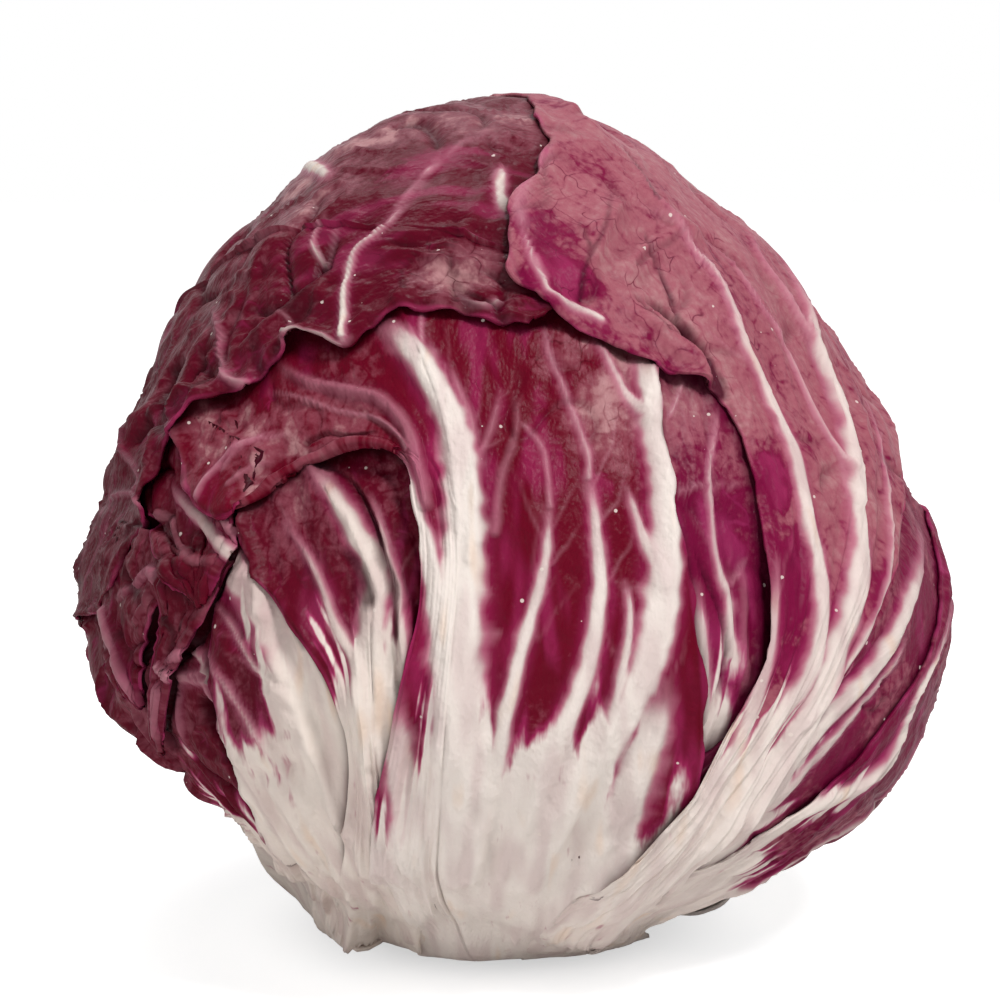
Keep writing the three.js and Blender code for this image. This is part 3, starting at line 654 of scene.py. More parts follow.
            (13.1, 45.7, 8, 1), (9.4, 21.8, 7, 1.1), (30.2, 43.5, 3, 0.6), (34.2, 16.5, 4, -0.3),
            (31.4, 4.9, 5, 0.1)),
        worn=((40.7, 36, 8, 0.9), (44.7, 31.2, 5, 0.7), (40.7, 14.8, 6, 0.2)),
        veins=(
            Vein((0.55, 0.22), (0.7, 0.35), (0.95, 0.5), line(49.4, 18.5, 43.8, 20.5, 40.3, 21.9,
                36.9, 24, 35.2, 27.4, 31.3, 31.1, 28, 33.4, 20.9, 37.4, 16.3, 42)),
            Vein((0.4, 0.25), (0.5, 0.3), (0.7, 0.5), line(36.5, 19.5, 33, 18.7, 31, 19.5,
                27.7, 21.2)),
            Vein((0.35, 0.25), (0.4, 0.3), (0.5, 0.4), line(36.5, 19.5, 31.9, 22.4)),
            Vein((1.1, 0.4), (0.5, 0.3), (0.9, 0.8), line(32.9, 44.2, 30.2, 43.5, 24.6, 44.1)),
            Vein((0.9, 0.6), (0.6, 0.4), (0.95, 0.9), line(5.1, 17.5, 18.9, 22.1)),
            Vein((2.2, 1.4), (1, 0.6), (0, 0), line(48, -23, 40.6, -14.2, 32.9, -3.3, 28.2, 7.3,
                25.2, 17.8)),
            Vein((1.6, 1), (0.9, 0.5), (0, 0), line(41.4, -7.9, 35.4, -0.5, 30.1, 8.9, 27.4, 15.2)),
            Vein((1.5, 0.9), (0.9, 0.5), (0, 0), line(43.6, 0, 37.6, 4.3, 33, 8.3, 28.9, 10.5)),
            Vein((1.2, 0.8), (0.8, 0.5), (0, 0), line(45.5, 11.3, 43.1, 15.6, 39.2, 18,
                35.5, 17.7)),
            Vein((1.4, 0.8), (0.7, 0.4), (0, 0), line(47, 27.8, 40.7, 36, 32.3, 40.9, 21.9, 43.7)),
            Vein((0.35, 0.2), (-0.5, -0.3), (-0.8, -0.4), line(48.5, 35, 43, 35.8, 38.3, 37.3,
                34, 37.6)),
            Vein((0.35, 0.2), (-0.4, -0.3), (-0.8, -0.4), line(49.6, 40.8, 48.4, 38.1, 46.2, 36.4,
                42.5, 35.6, 40.2, 33.2)),
            Vein((0.3, 0.2), (-0.4, -0.2), (-0.7, -0.3), line(45.6, 28.6, 42.5, 29, 41, 30.7,
                39.6, 33.3)),
            Vein((0.4, 0.3), (0.4, 0.3), (0.7, 0.5), line(44.9, 10.9, 46, 13.2, 48, 15.7,
                50.1, 17.5, 50, 19.7)),
            Vein((0.4, 0.3), (0.5, 0.3), (0.6, 0.4), line(48.7, 40.7, 49.6, 38.6, 48.6, 36.7,
                46.4, 35.6)),
            Vein((0.6, 0.4), (0.9, 0.6), (0.5, 0.35), line(47.2, 2.6, 45.4, 1, 42.6, 0.2, 38.2, 0.2,
                35, 1.6, 26.9, 0.9)),
            Vein((0.3, 0.25), (0.5, 0.3), (0.35, 0.2), line(45.8, 10.4, 43, 12.3, 40, 11.3,
                37.7, 9.6)),
            Vein((2.4, 1.2), (-2.2, -1.2), (-0.9, -0.5), line(29.2, -9.6, 32.1, -11.9, 38.7, -11.5,
                45.1, -10.6)),
            Vein((1.2, 0.8), (-1.4, -0.9), (-0.6, -0.4), line(42.6, -7.9, 42.2, -4.5, 38.4, -3.1,
                33.5, -3.3)),
            Vein((1, 0.7), (-1.2, -0.8), (-0.6, -0.3), line(48, 5, 43.5, 5.9, 40, 8.5, 38.5, 12.4)),
            Vein((1, 0.6), (-1.2, -0.8), (-0.8, -0.4), line(37.5, 19, 35.1, 20.5, 32.6, 22.1)),
            Vein((0.5, 0.3), (0.7, 0.4), (0.4, 0.25), line(46.1, -21.8, 41.5, -23.3, 35.2, -26.7,
                27.5, -31.9)),
            Vein((0.5, 0.3), (0.7, 0.4), (0.35, 0.2), line(41.4, -22.6, 36.9, -22, 29.8, -22.9,
                27, -20.3, 25.4, -18)),
        ),
    ),
    LeafPlan(
        "right_wrapper_leaf", Finish.MAUVE, (52, 105),
        line(-19, -80, -36, -63, -29, -40, -18, -14, -13, 6, -13.4, 17, -21, 22.5, -29, 31,
            -31.4, 39, -26, 48.5, -12, 56.4, -6, 64, 2, 78),
        line(-10, -80, -27, -61, -24, -40, -11, -16, 1, 0, 5, 8, 8, 14, 12, 21, 17, 29, 22, 39,
            26, 50, 24, 64, 14, 82),
        line(2, -80, -14, -61, -17, -39, -5, -19, 12, -5, 22, 3, 29, 9, 36, 16, 42, 25, 47, 35,
            50, 47, 50, 62, 30, 88),
        depth=0, strips=(180, 250), ripple=0.8, crumple=0.6, crumple_size=13, lift=1.2, pale_to=68,
        tongue=16,
        bloom_and_sheen_spots=((-27.2, 39.1, 3.5, -1.2), (-28.4, 34.6, 3, -1), (-25.5, 34.9, 2.5, -0.6),
            (-23.4, 45.5, 3, -0.3), (-21.4, -13.1, 5, -1.6), (-17.9, -4.2, 4, -1.3),
            (-10.8, 6, 4, -0.9), (-13.6, -9.7, 4, -1), (-14.6, -16.5, 3.5, -1.3),
            (-7.3, -12.9, 4, -0.6), (-5, -20.2, 5, -1), (-7.5, -24.7, 4, -1), (1.4, -11.8, 4, -0.4),
            (4.8, -18, 5, -0.9), (-10.7, 2.1, 3, -0.8), (-10.6, -5.4, 4, -0.5),
            (-25.3, 28.9, 3, -0.2), (-12.1, 54.2, 5, 0.1), (-22.1, 20.8, 3, -0.3)),
        worn=((-19.5, 38.1, 11, 1), (-16.7, 49.6, 6, 0.6), (-12.1, 34.7, 9, 0.8),
            (-11.4, 25.6, 8, 0.3)),
        veins=(
            Vein((2.6, 0.8), (1.5, 0.7), (1, 0.8), line(-34.5, -56.4, -29.9, -53.2, -20.9, -41.6,
                -14.1, -28.9, -10, -19.5, -4.2, -11.1, 0.1, -4.5, 3.6, 2.7, 8.9, 13.3, 11.5, 20.5,
                15.6, 28.2, 23.7, 38.2)),
            Vein((1.3, 0.4), (0.8, 0.4), (1, 0.5), line(-20.9, -41.6, -17.8, -26.4, -13.1, -19,
                -9.9, -12.5, -8.2, -5.8, -6.9, 1.5, -5.4, 7.9, -5.2, 12.5, -4.8, 18.5, -5.2, 21.8,
                -5, 24.9, -4.1, 28.2, -3.5, 33.2, -4.4, 35.7, -4.1, 38.6, -4, 41.6, -4.3, 44.2)),
            Vein((1.4, 0.4), (0.6, 0.4), (0.95, 0.6), line(-28.3, -50.5, -25.2, -34.6, -21.3, -26,
                -19.1, -18.2, -17, -11.5, -14.2, -4.8)),
            Vein((0.5, 0.3), (0.4, 0.3), (0.6, 0.4), line(3.4, 4.1, 2.8, 11, 3.7, 18, 3.9, 22.9,
                3.5, 25.2, 2.5, 27.8, 2.5, 30.6, 2.8, 34, 2.2, 36.8)),
            Vein((0.9, 0.5), (0.6, 0.4), (0.6, 0.35), line(2.3, 0.3, 6.4, 9.3, 11.1, 19.1, 11.5, 26,
                11.6, 30.1, 11.9, 35.2, 15.9, 40)),
            Vein((0.6, 0.3), (0.5, 0.3), (0.8, 0.5), line(-12.4, -24, -3.3, -15.8, 3.2, -9.7,
                9.5, -3.1, 15.4, 4.4, 22.2, 13)),
            Vein((0.55, 0.4), (0.5, 0.5), (0.8, 0.6), line(-24.7, 30, -25.9, 31.5, -28.4, 33.2,
                -29.6, 34.9, -29.1, 37.3, -28.5, 39.9, -27.2, 43.3, -25.7, 46.3)),
            Vein((0.8, 0.5), (0.5, 0.4), (0.4, 0.3), line(-25.7, 46.3, -23.5, 49.4, -21.1, 51.6,
                -17.3, 53.8, -11.6, 56.2)),
            Vein((0.3, 0.2), (-0.5, -0.3), (-1, -0.6), line(-25.5, 33.7, -23.8, 36.1, -21.1, 38.5,
                -19.7, 40.8, -18.9, 44.3)),
            Vein((0.25, 0.15), (-0.4, -0.3), (-0.8, -0.5), line(-21.1, 38.5, -16.6, 41.4,
                -13.2, 44.5, -10.5, 47)),
            Vein((0.3, 0.2), (-0.5, -0.3), (-1, -0.6), line(-12.6, 30.2, -11.8, 34.2, -11.1, 37.4,
                -10.2, 39.1, -9.6, 41.3)),
            Vein((0.3, 0.2), (-0.4, -0.3), (-0.9, -0.6), line(-4.3, 44.2, -2.9, 46.9, -0.4, 51.3,
                1.3, 54.8)),
            Vein((1.1, 0.5), (-2.4, -1.6), (-1, -0.9), line(-12.8, 17.1, -12.7, 21.3, -13.4, 25.2,
                -14.8, 28.9, -16.3, 31.1)),
            Vein((2.2, 1.4), (1.3, 0.8), (0, 0), line(-14.6, 20.3, -16.1, 23.4, -17.5, 26.6,
                -18.8, 29.8)),
            Vein((0.35, 0.25), (-0.7, -0.5), (-0.8, -0.6), line(-16.4, 26.3, -17.1, 28.6,
                -17.6, 30.4, -17.6, 32.5)),
            Vein((0.3, 0.2), (-0.5, -0.3), (-0.9, -0.6), line(-12.6, 30.2, -13.5, 27.8,
                -12.3, 32.5)),
            Vein((0.5, 0.3), (-0.6, -0.4), (-0.4, -0.3), line(-14.2, 36.4, -11.1, 37.7, -7.8, 38,
                -3.1, 39.5)),
            Vein((1.6, 1), (1, 0.6), (0, 0), line(-2, 39.3, -4.1, 42.6, -4, 45.8, -1.6, 50)),
            Vein((1.5, 1), (0.9, 0.5), (0, 0), line(-16.9, 35.8, -11.6, 37.5, -7.3, 38.6,
                -3, 39.6)),
        ),
    ),
)


# ---- draping and relief ----


def flat_grid(name: str, columns: int, rows: int, size: float) -> bpy.types.Mesh:
    """A flat square grid, twice as wide as size."""
    bm = bmesh.new()
    bmesh.ops.create_grid(bm, x_segments=columns, y_segments=rows, size=size)
    mesh = bpy.data.meshes.new(name)
    bm.to_mesh(mesh)
    bm.free()
    return mesh


def in_scene(name: str, data: bpy.types.ID) -> bpy.types.Object:
    """A new object in the scene."""
    made = bpy.data.objects.new(name, data)
    bpy.context.scene.collection.objects.link(made)
    return made


@dataclass
class Stack:
    """What is already laid, for the next leaf to rest on."""

    trees: list[BVHTree] = field(default_factory=list)

    def add(self, mesh: bpy.types.Mesh) -> None:
        """Adds a CAD node's mesh or the outer face of a leaf."""
        faces = [tuple(p.vertices) for p in mesh.polygons]
        self.trees.append(BVHTree.FromPolygons([v.co.copy() for v in mesh.vertices], faces))

    def radius(self, sight: np.ndarray) -> np.ndarray:
        """How far out the stack reaches in each direction, in mm, or 0 where nothing lies."""
        centre = Vector(CENTRE * MM)
        found = np.zeros(len(sight))
        newest_first = self.trees[::-1]
        for i, d in enumerate(sight):
            inward = Vector(-d)
            start = centre - inward * FAR
            for tree in newest_first:
                distance = tree.ray_cast(start, inward, FAR)[3]
                if distance is not None:
                    found[i] = (FAR - distance) / MM
                    break
        return found


def spread(values: np.ndarray, least: np.ndarray, rounds: int) -> np.ndarray:
    """Smooths a grid of values without letting any fall below its least.

    Args:
        values: The grid.
        least: The least value at each place.
        rounds: How many times to smooth.

    Returns:
        The smoothed grid.
    """
    for _ in range(rounds):
        p = np.pad(values, 1, mode="edge")
        round_it = p[:-2, 1:-1] + p[2:, 1:-1] + p[1:-1, :-2] + p[1:-1, 2:]
        values = np.maximum(0.36 * values + 0.16 * round_it, least)
    return values


def nearest(
    place: np.ndarray, path: np.ndarray, within: float
) -> tuple[np.ndarray, np.ndarray]:
    """How far each place is from a path.

    Args:
        place: Flat places.
        path: The path's points.
        within: How far off it to look.

    Returns:
        The distance, and how far along the path that is, from 0 to 1.
    """
    best = np.full(place.shape[:-1], 1e3)
    share = np.zeros(place.shape[:-1])
    low, high = path.min(0) - within, path.max(0) + within
    close = np.all((place > low) & (place < high), axis=-1)
    spot = place[close]
    near, along = np.full(len(spot), 1e3), np.zeros(len(spot))
    count = len(path) - 1
    for i, (a, b) in enumerate(zip(path[:-1], path[1:])):
        ab = b - a
        s = np.clip(((spot - a) @ ab) / max(float(ab @ ab), 1e-9), 0, 1)
        off = spot - a - s[..., None] * ab
        d = np.hypot(off[..., 0], off[..., 1])
        closer = d < near
        near = np.where(closer, d, near)
        along = np.where(closer, (i + s) / count, along)
    best[close], share[close] = near, along
    return best, share


@dataclass
class Leaf:
    """A leaf bent round the head, laid on the stack and dressed.

    Its mesh, the order of the mesh's points by row and the grid's shape are set as it is built.
    """

    plan: LeafPlan
    seed: int
    mesh: bpy.types.Mesh | None = None
    order: np.ndarray | None = None
    shape: tuple[int, int] = (0, 0)

    def tuck(self) -> float:
        """How much deeper the leaf lies at the stem: the last leaves stay outside."""
        return TUCK * float(1 - smoothstep(3.5, 6, np.array(self.seed)))

    def own_veins(self) -> list[Vein]:
        """The veins of the plan, or where it has none a midrib with a fan of side veins."""
        plan = self.plan
        if plan.veins:
            return list(plan.veins)
        rib = plan.on_plan(np.zeros(12), np.linspace(0.02, 0.9, 12))
        veins = [Vein((2.6, 0.6), (1.4, 0.5), (1, 0.8), as_points(rib))]
        draw = np.random.default_rng(self.seed)
        for side in (-1, 1):
            for k in range(4):
                start = 0.02 + 0.13 * k + 0.04 * draw.random()
                reach = 0.38 + 0.1 * draw.random()
                out = np.linspace(0.04, 0.8 - 0.05 * k, 9)
                along = start + reach * (np.linspace(0, 1, 9) ** 0.85)
                path = as_points(plan.on_plan(side * out, np.clip(along, 0, 0.97)))
                veins.append(Vein((1.3 - 0.1 * k, 0.85), (0.7, 0.3), (0.95, 0.45), path))
        return veins

    def side_veins(self, mains: list[Vein]) -> list[Vein]:
        """Fine veins that leave the main ones in turn on either side, and bend towards the tip.

        Args:
            mains: The veins that they leave.

        Returns:
            The fine veins.
        """
        draw = np.random.default_rng(self.seed + 500)
        veins = []
        for main in mains:
            if main.half_width[0] < 0.5 or main.pale[0] < RIB_PALE:
                continue
            path = np.array(main.points, float)
            length = float(np.hypot(*np.diff(path, axis=0).T).sum())
            count = int(length * 0.6 / SIDE_VEIN_STEP)
            for k in range(count):
                at = (0.38 + 0.6 * (k + 0.6 * draw.random()) / max(count, 1)) * (len(path) - 1)
                start, ahead = smooth_through(path, np.array([at, at + 0.2]))
                heading = math.atan2(*(ahead - start)[::-1])
                side = 1 if k % 2 else -1
                turn = math.radians(18 + 24 * draw.random())
                reach = (3 + 12 * draw.random() ** 2) * min(1.0, length / 40)
                s = np.linspace(0, 1, 7)
                bearing = heading + side * turn * (1 - 0.5 * s) + 0.16 * draw.standard_normal(7)
                step = reach / 6 * np.stack([np.cos(bearing), np.sin(bearing)], -1)
                points = as_points(start + np.cumsum(step, axis=0) - step[0])
                white = 0.1 + 0.22 * draw.random()
                veins.append(Vein((0.2, 0.08), (0.16, 0.04), (white, 0.05), points))
        return veins

    def draw_lines(self, place: np.ndarray, layers: dict[str, np.ndarray]) -> np.ndarray:
        """Draws the ribs, veins, folds and cracks into the layers.

        Args:
            place: Flat places, in mm.
            layers: Where height, veins, halo, painted fold shade and dark cracks are added to.

        Returns:
            The distance to the nearest high rib, in mm.
        """
        x, y = place[..., 0], place[..., 1]
        rib_near = np.full(x.shape, RIB_FAR)
        wobble = 0.25 * ripples(x, y, 5.0, self.seed + 3)
        ragged = 1 + 0.3 * ripples(x, y, 2.6, self.seed + 12)
        mains = self.own_veins()
        for vein in mains + self.side_veins(mains):
            is_rib = vein.half_width[0] >= RIB_WIDE
            is_pale = vein.pale[0] > RIB_PALE
            points = np.array(vein.points, float)
            smooth = smooth_through(points, np.linspace(0, len(points) - 1, 3 * len(points)))
            distance, share = nearest(place, smooth, RIB_FAR + 1 if is_rib else 1.5)
            wide, high, white = (
                a + (b - a) * share for a, b in (vein.half_width, vein.height, vein.pale)
            )
            end = 1 - smoothstep(0.8, 1.0, share) * 0.7
            reach = np.clip((distance + wobble * wide) / wide - 0.2, 0, 1.4) / 1.4
            layers["height"] += high * end * (0.5 + 0.5 * np.cos(math.pi * reach))
            feather = 0.2 + 0.28 * wide
            shade = np.clip(0.5 + (wide - distance * ragged) / (2 * feather), 0, 1) * end
            # a paleness below 0 paints shade into folds and grooves, and darkens cracks
            kind = "fold_shade_and_crack" if vein.pale[0] < 0 else "vein"
            layers[kind] = np.maximum(layers[kind], np.abs(white) * shade)
            if is_rib and is_pale:
                beside = np.exp(-((np.maximum(distance - wide, 0) / (0.4 + 0.45 * wide)) ** 2))
                layers["halo"] = np.maximum(layers["halo"], white * beside * end)
            if vein.height[0] >= RIB_HIGH and is_pale:
                rib_near = np.minimum(rib_near, distance - wide)
        return rib_near

    def relief(self, place: np.ndarray, u: np.ndarray, t: np.ndarray) -> dict[str, np.ndarray]:
        """The height of ribs, folds and edge over the plain leaf, and what its colours follow.

        Args:
            place: Flat places, in mm.
            u: Place across, from -1 to 1.
            t: Place along, from 0 to 1.

        Returns:
            height, paleness, veins, halo, painted fold shade with dark cracks, dusty bloom with
            painted sheen, wear, margin and the painted shadow beside a covering leaf, each a grid.
        """
        plan, seed = self.plan, self.seed
        x, y = place[..., 0], place[..., 1]
        layers = {k: np.zeros(u.shape) for k in ("height", "vein", "halo", "fold_shade_and_crack", "beside")}
        rib_near = self.draw_lines(place, layers)
        span = np.hypot(*np.moveaxis(plan.on_plan(np.sign(u), t) - plan.on_plan(0 * u, t), -1, 0))
        margin = np.minimum((1 - np.abs(u)) * span, (1 - t) * TIP_LENGTH)
        along = self.along(t)
        height, creased = self.folds(place, u, along, margin, rib_near)
        layers["height"] += height
        # painted shade in the creases between puffed plates
        layers["fold_shade_and_crack"] = np.maximum(layers["fold_shade_and_crack"], creased)
        # how far up the leaf is pale, in streaks and tongues
        streak = 9 * ripples(u * MIDDLING, along / 20, 2.6, seed + 21)
        streak = streak + 3 * ripples(x, y, 6, seed + 22)
        reach = plan.pale_to - plan.tongue * smoothstep(0.3, 4.0, rib_near) - streak
        reach = np.maximum(reach, plan.pale_to - 1.25 * plan.tongue)
        layers["pale"] = fade(-8, 6, along - reach)
        # where the blade is dusty, with its satin sheen painted in
        broad = ripples(x, 0.7 * y, 11, seed + 24) + 0.6 * ripples(x, 0.7 * y, 5, seed + 25)
        broad = broad + 0.4 * ripples(x, 0.7 * y, 2.4, seed + 26)
        layers["bloom"] = self.spots(x, y, plan.bloom_and_sheen_spots) + 0.5 * broad
        layers["worn"] = self.spots(x, y, plan.worn)
        layers["margin"] = margin
        return layers

    def spots(self, x: np.ndarray, y: np.ndarray, spots: tuple[Spot, ...]) -> np.ndarray:
        """Soft spots, with ragged borders, added up."""
        ragged = 1 + 0.6 * ripples(x, y, 5, self.seed + 40)
        ragged = ragged + 0.45 * ripples(x, y, 2, self.seed + 41)
        total = np.zeros(x.shape)
        for right, up, radius, strength in spots:
            away = np.hypot(x - right, y - up) / radius * ragged
            total += strength * np.exp(-(away**2))
        return total

    def folds(
        self,
        place: np.ndarray,
        u: np.ndarray,
        along: np.ndarray,
        margin: np.ndarray,
        rib_near: np.ndarray,
    ) -> tuple[np.ndarray, np.ndarray]:
        """The swells, puffed plates, creases and lifted edge.

        Args:
            place: Flat places, in mm.
            u: Place across, from -1 to 1.
            along: Distance from the stem, in mm.
            margin: Distance to the leaf's edge, in mm.
            rib_near: Distance to the nearest high rib, in mm.

        Returns:
            The height, and how much painted shade the creases get, at each place.
        """
        plan, seed = self.plan, self.seed
        x, y = place[..., 0], place[..., 1]
        loose = smoothstep(14, 48, along)
        soft = smoothstep(0.0, 3.0, rib_near) * loose
        wx = x + 2.5 * ripples(x, y, 13, seed + 1)
        wy = y + 2.5 * ripples(x, y, 13, seed + 2)
        across = u * MIDDLING
        fan = across + 0.35 * wx
        # long swells, and puffed plates with valleys between them
        swell = ripples(wx, wy, 17, seed + 4) + 0.6 * ripples(fan, 0.35 * wy, 6, seed + 5)
        height = plan.ripple * swell * (0.35 + 0.65 * loose)
        size = plan.crumple_size
        here = smoothstep(-0.15, 0.35, ripples(x, y, 12, seed + 10))
        apart = np.abs(ripples(wx, wy, size, seed + 6)) * size / 1.5
        valley = np.exp(-((apart / 0.6) ** 2)) * here
        puff = (1 - np.exp(-((apart / 2.6) ** 2))) * here
        height += plan.crumple * (0.5 * puff - 0.9 * valley) * soft
        # fine crests where the leaf isn't puffed, and troughs beside the ribs
        apart = np.abs(ripples(wx * 1.1, wy * 0.7, 0.5 * size, seed + 7)) * size / 3
        crest = np.exp(-((apart / 0.45) ** 2)) * (1 - here)
        height += 0.4 * plan.crumple * crest * soft
        height += 0.4 * plan.ripple * (np.exp(-((rib_near / 3.0) ** 2)) - 1) * loose
        # firm folds near the stem
        firm = (1 - 0.75 * smoothstep(30, 70, along)) * smoothstep(2, 12, along)
        height += 1.1 * firm * ripples(across, along / 20, 5.2, seed + 8)
        height += 0.5 * firm * ripples(across, along / 12, 2.1, seed + 11)
        # an edge that lifts in waves and turns in at its rim
        wave = 0.65 + 0.5 * ripples(x, y, 9, seed + 9)
        wave = wave * (0.4 + 0.6 * smoothstep(60, 130, along))
        away_from_stem = smoothstep(16, 40, along)
        height += plan.lift * wave * np.exp(-((margin / 3.2) ** 2)) * away_from_stem
        height -= 0.5 * np.exp(-((margin / 0.7) ** 2)) * away_from_stem
        return height, valley * soft * min(plan.crumple * 0.6, 0.8)

    def along(self, t: np.ndarray) -> np.ndarray:
        """The distance from the stem, in mm."""
        return self.plan.along(t) + (0 if self.plan.rooted else LOBE_START)

    def cut(self) -> tuple[np.ndarray, np.ndarray]:
        """Makes the flat sheet that the leaf starts as.

        Returns:
            How far across each of its points is, from -1 to 1, and how far along, from 0 to 1.
        """
        self.mesh = flat_grid(self.plan.name, *self.plan.strips, 1)
        flat = np.empty(len(self.mesh.vertices) * 3)
        self.mesh.vertices.foreach_get("co", flat)
        flat = flat.reshape(-1, 3)
        self.order = np.lexsort((flat[:, 0].round(5), flat[:, 1].round(5)))
        wide = len(np.unique(flat[:, 0].round(5)))
        u, t = (flat[self.order, k].reshape(-1, wide) for k in (0, 1))
        self.shape = u.shape
        return u, (t + 1) / 2

    def trim(self, u: np.ndarray, t: np.ndarray) -> tuple[np.ndarray, np.ndarray]:
        """Rounds and roughens the tip and the margins, and widens the foot.

        Args:
            u: Place across, from -1 to 1.
            t: Place along, from 0 to 1.

        Returns:
            Both places as trimmed.
        """
        plan = self.plan
        ends = 1 - 0.1 * np.abs(u) ** 3 + 0.015 * ripples(u * 30, 0 * u, 5, self.seed + 30)
        t = t * (1 + (ends - 1) * plan.ragged_tip)
        rough = plan.on_plan(u, t)
        edge = 0.028 * ripples(rough[..., 0], rough[..., 1], 5.5, self.seed + 31)
        along = self.along(t)
        edge = edge * smoothstep(0.6, 1.0, np.abs(u)) * smoothstep(10, 30, along)
        return u * (1 + ROOT_WIDER * fade(4, 18, along)) * (1 + edge), t

    def drape(
        self, sight: np.ndarray, along: np.ndarray, under: np.ndarray, looks: dict[str, np.ndarray]
    ) -> np.ndarray:
        """Lays the leaf round the head and on what is under it.

        Args:
            sight: The direction of each point from the centre.
            along: Its distance from the stem, in mm.
            under: How far out the stack reaches there, in mm, or 0.
            looks: The leaf's relief and what its colours follow.

        Returns:
            How far out each point lies, in mm.
        """
        # the head's outside, drawn in and down to the stem
        own = head_radius(sight) - self.tuck() * fade(0, TUCK_END, along)
        own = own - self.plan.depth * (smoothstep(8, 38, along) if self.tuck() < TUCK / 2 else 1)
        foot_height = ROOT_HEIGHT + ROOT_STEP * (LAST - self.seed)
        foot_height = foot_height + ROOT_RISE * fade(0, ROOT_CURL_END, along)
        ground = (CENTRE[2] - foot_height) / np.maximum(-sight[..., 2], 0.5)
        own = own + (ground - own) * fade(2, ROOT_END, along)
        # raised over what it lies on
        need = np.where(under > 0, under + BLADE + REST_GAP, 0)
        need = need - ROOT_SUNK * fade(5, 15, along)
        short = np.maximum(need - own, 0)
        radius = np.maximum(own + spread(short, short, BRIDGE) + looks["height"], need)
        # near the stem, its margin pulled down and sunk into what it lies on
        margin, clear = looks["margin"], np.maximum(radius - need, 0)
        sunk = fade(0.2, 5, margin) * fade(26, 50, along)
        hug = fade(1, 11, margin) * fade(36, 60, along)
        hug = hug * smoothstep(8, 18, along) * fade(*HUG_UNDER, clear)
        radius = radius - spread(hug * clear, np.zeros_like(clear), HUG_SPREAD) - sunk
        return own + (radius - own) * smoothstep(3, 24, along)

    def write(self, points: np.ndarray, place: np.ndarray, looks: dict[str, np.ndarray]) -> None:
        """Writes the leaf's points and layers into its mesh.

        Args:
            points: Where each point lies, in mm.
            place: Its flat place, in mm.
            looks: The leaf's relief and what its colours follow.
        """
        back = np.argsort(self.order)
        mesh, relief = self.mesh, looks["height"]
        mesh.vertices.foreach_set("co", (points.reshape(-1, 3)[back] * MM).ravel())
        # how deep each hollow is, which the material paints as shade
        hollow_shade = np.clip(spread(relief, relief - 9, HOLLOW_SPREAD) - relief, 0, 1)
        values = {**looks, "hollow_shade": hollow_shade}
        for name in LAYERS:
            layer = mesh.attributes.new(name, "FLOAT", "POINT")
            layer.data.foreach_set("value", values[name].ravel()[back].astype(np.float32))
        layer = mesh.attributes.new(PLACE_LAYER, "FLOAT_VECTOR", "POINT")
        spot = np.dstack([place, np.full(self.shape, 40.0 * self.seed)]).reshape(-1, 3)[back]
        layer.data.foreach_set("vector", spot.ravel().astype(np.float32))
        mesh.update()
        mesh.shade_smooth()

    def build(self, stack: Stack) -> bpy.types.Object:
        """Makes the leaf's mesh and lays it on the stack.

        Args:
            stack: What it rests on, to which it is then added.

        Returns:
            The leaf, as an object with a live thickness.
        """
        u, t = self.trim(*self.cut())
        place, along = self.plan.on_plan(u, t), self.along(t)
        sight = self.plan.sight(place)
        sight[..., :2] *= (1 - ROOT_CURL * fade(0, ROOT_CURL_END, along))[..., None]
        sight /= np.linalg.norm(sight, axis=-1, keepdims=True)
        under = stack.radius(sight.reshape(-1, 3)).reshape(self.shape)
        looks = self.relief(place, u, t)
        looks["height"] *= 0.2 + 0.8 * smoothstep(4, 24, along)
        points = CENTRE + sight * self.drape(sight, along, under, looks)[..., None]
        points[..., 2] = np.maximum(points[..., 2], LOWEST)
        self.write(points, place, looks)
        leaf = in_scene(self.plan.name + "_blade", self.mesh)
        wall = leaf.modifiers.new("thickness", "SOLIDIFY")
        wall.thickness = BLADE * MM
        wall.offset = -1
        stack.add(self.mesh)
        return leaf

    def paint_shadow_beside(self, above: list[BVHTree]) -> None:
        """Paints shadow where the leaf lies just beside one that covers it.

        Args:
            above: The leaves that were laid after it.
        """
        flat = np.empty(len(self.order) * 3)
        self.mesh.vertices.foreach_get("co", flat)
        points = flat.reshape(-1, 3)[self.order]
        sight = points - CENTRE * MM
        sight /= np.linalg.norm(sight, axis=-1, keepdims=True)
        covered = np.zeros(len(points))
        for i, (start, out) in enumerate(zip(points + 0.3 * MM * sight, sight)):
            ray = Vector(start), Vector(out), OVER
            covered[i] = any(tree.ray_cast(*ray)[3] is not None for tree in above)
        soft = spread(covered.reshape(self.shape), np.zeros(self.shape), SHADE_SPREAD)
        # the painted shadow, faded out near the ground
        high = smoothstep(5, 17, points[:, 2] / MM)
        beside = np.empty(len(points), np.float32)
        beside[self.order] = smoothstep(0.02, 0.65, soft).ravel() * high
        self.mesh.attributes["beside"].data.foreach_set("value", beside)


# ---- materials ----


def tint(colour: Colour, by: Colour) -> Colour:
    """A colour with each of its parts multiplied."""
    return tuple(c * b for c, b in zip(colour, by))


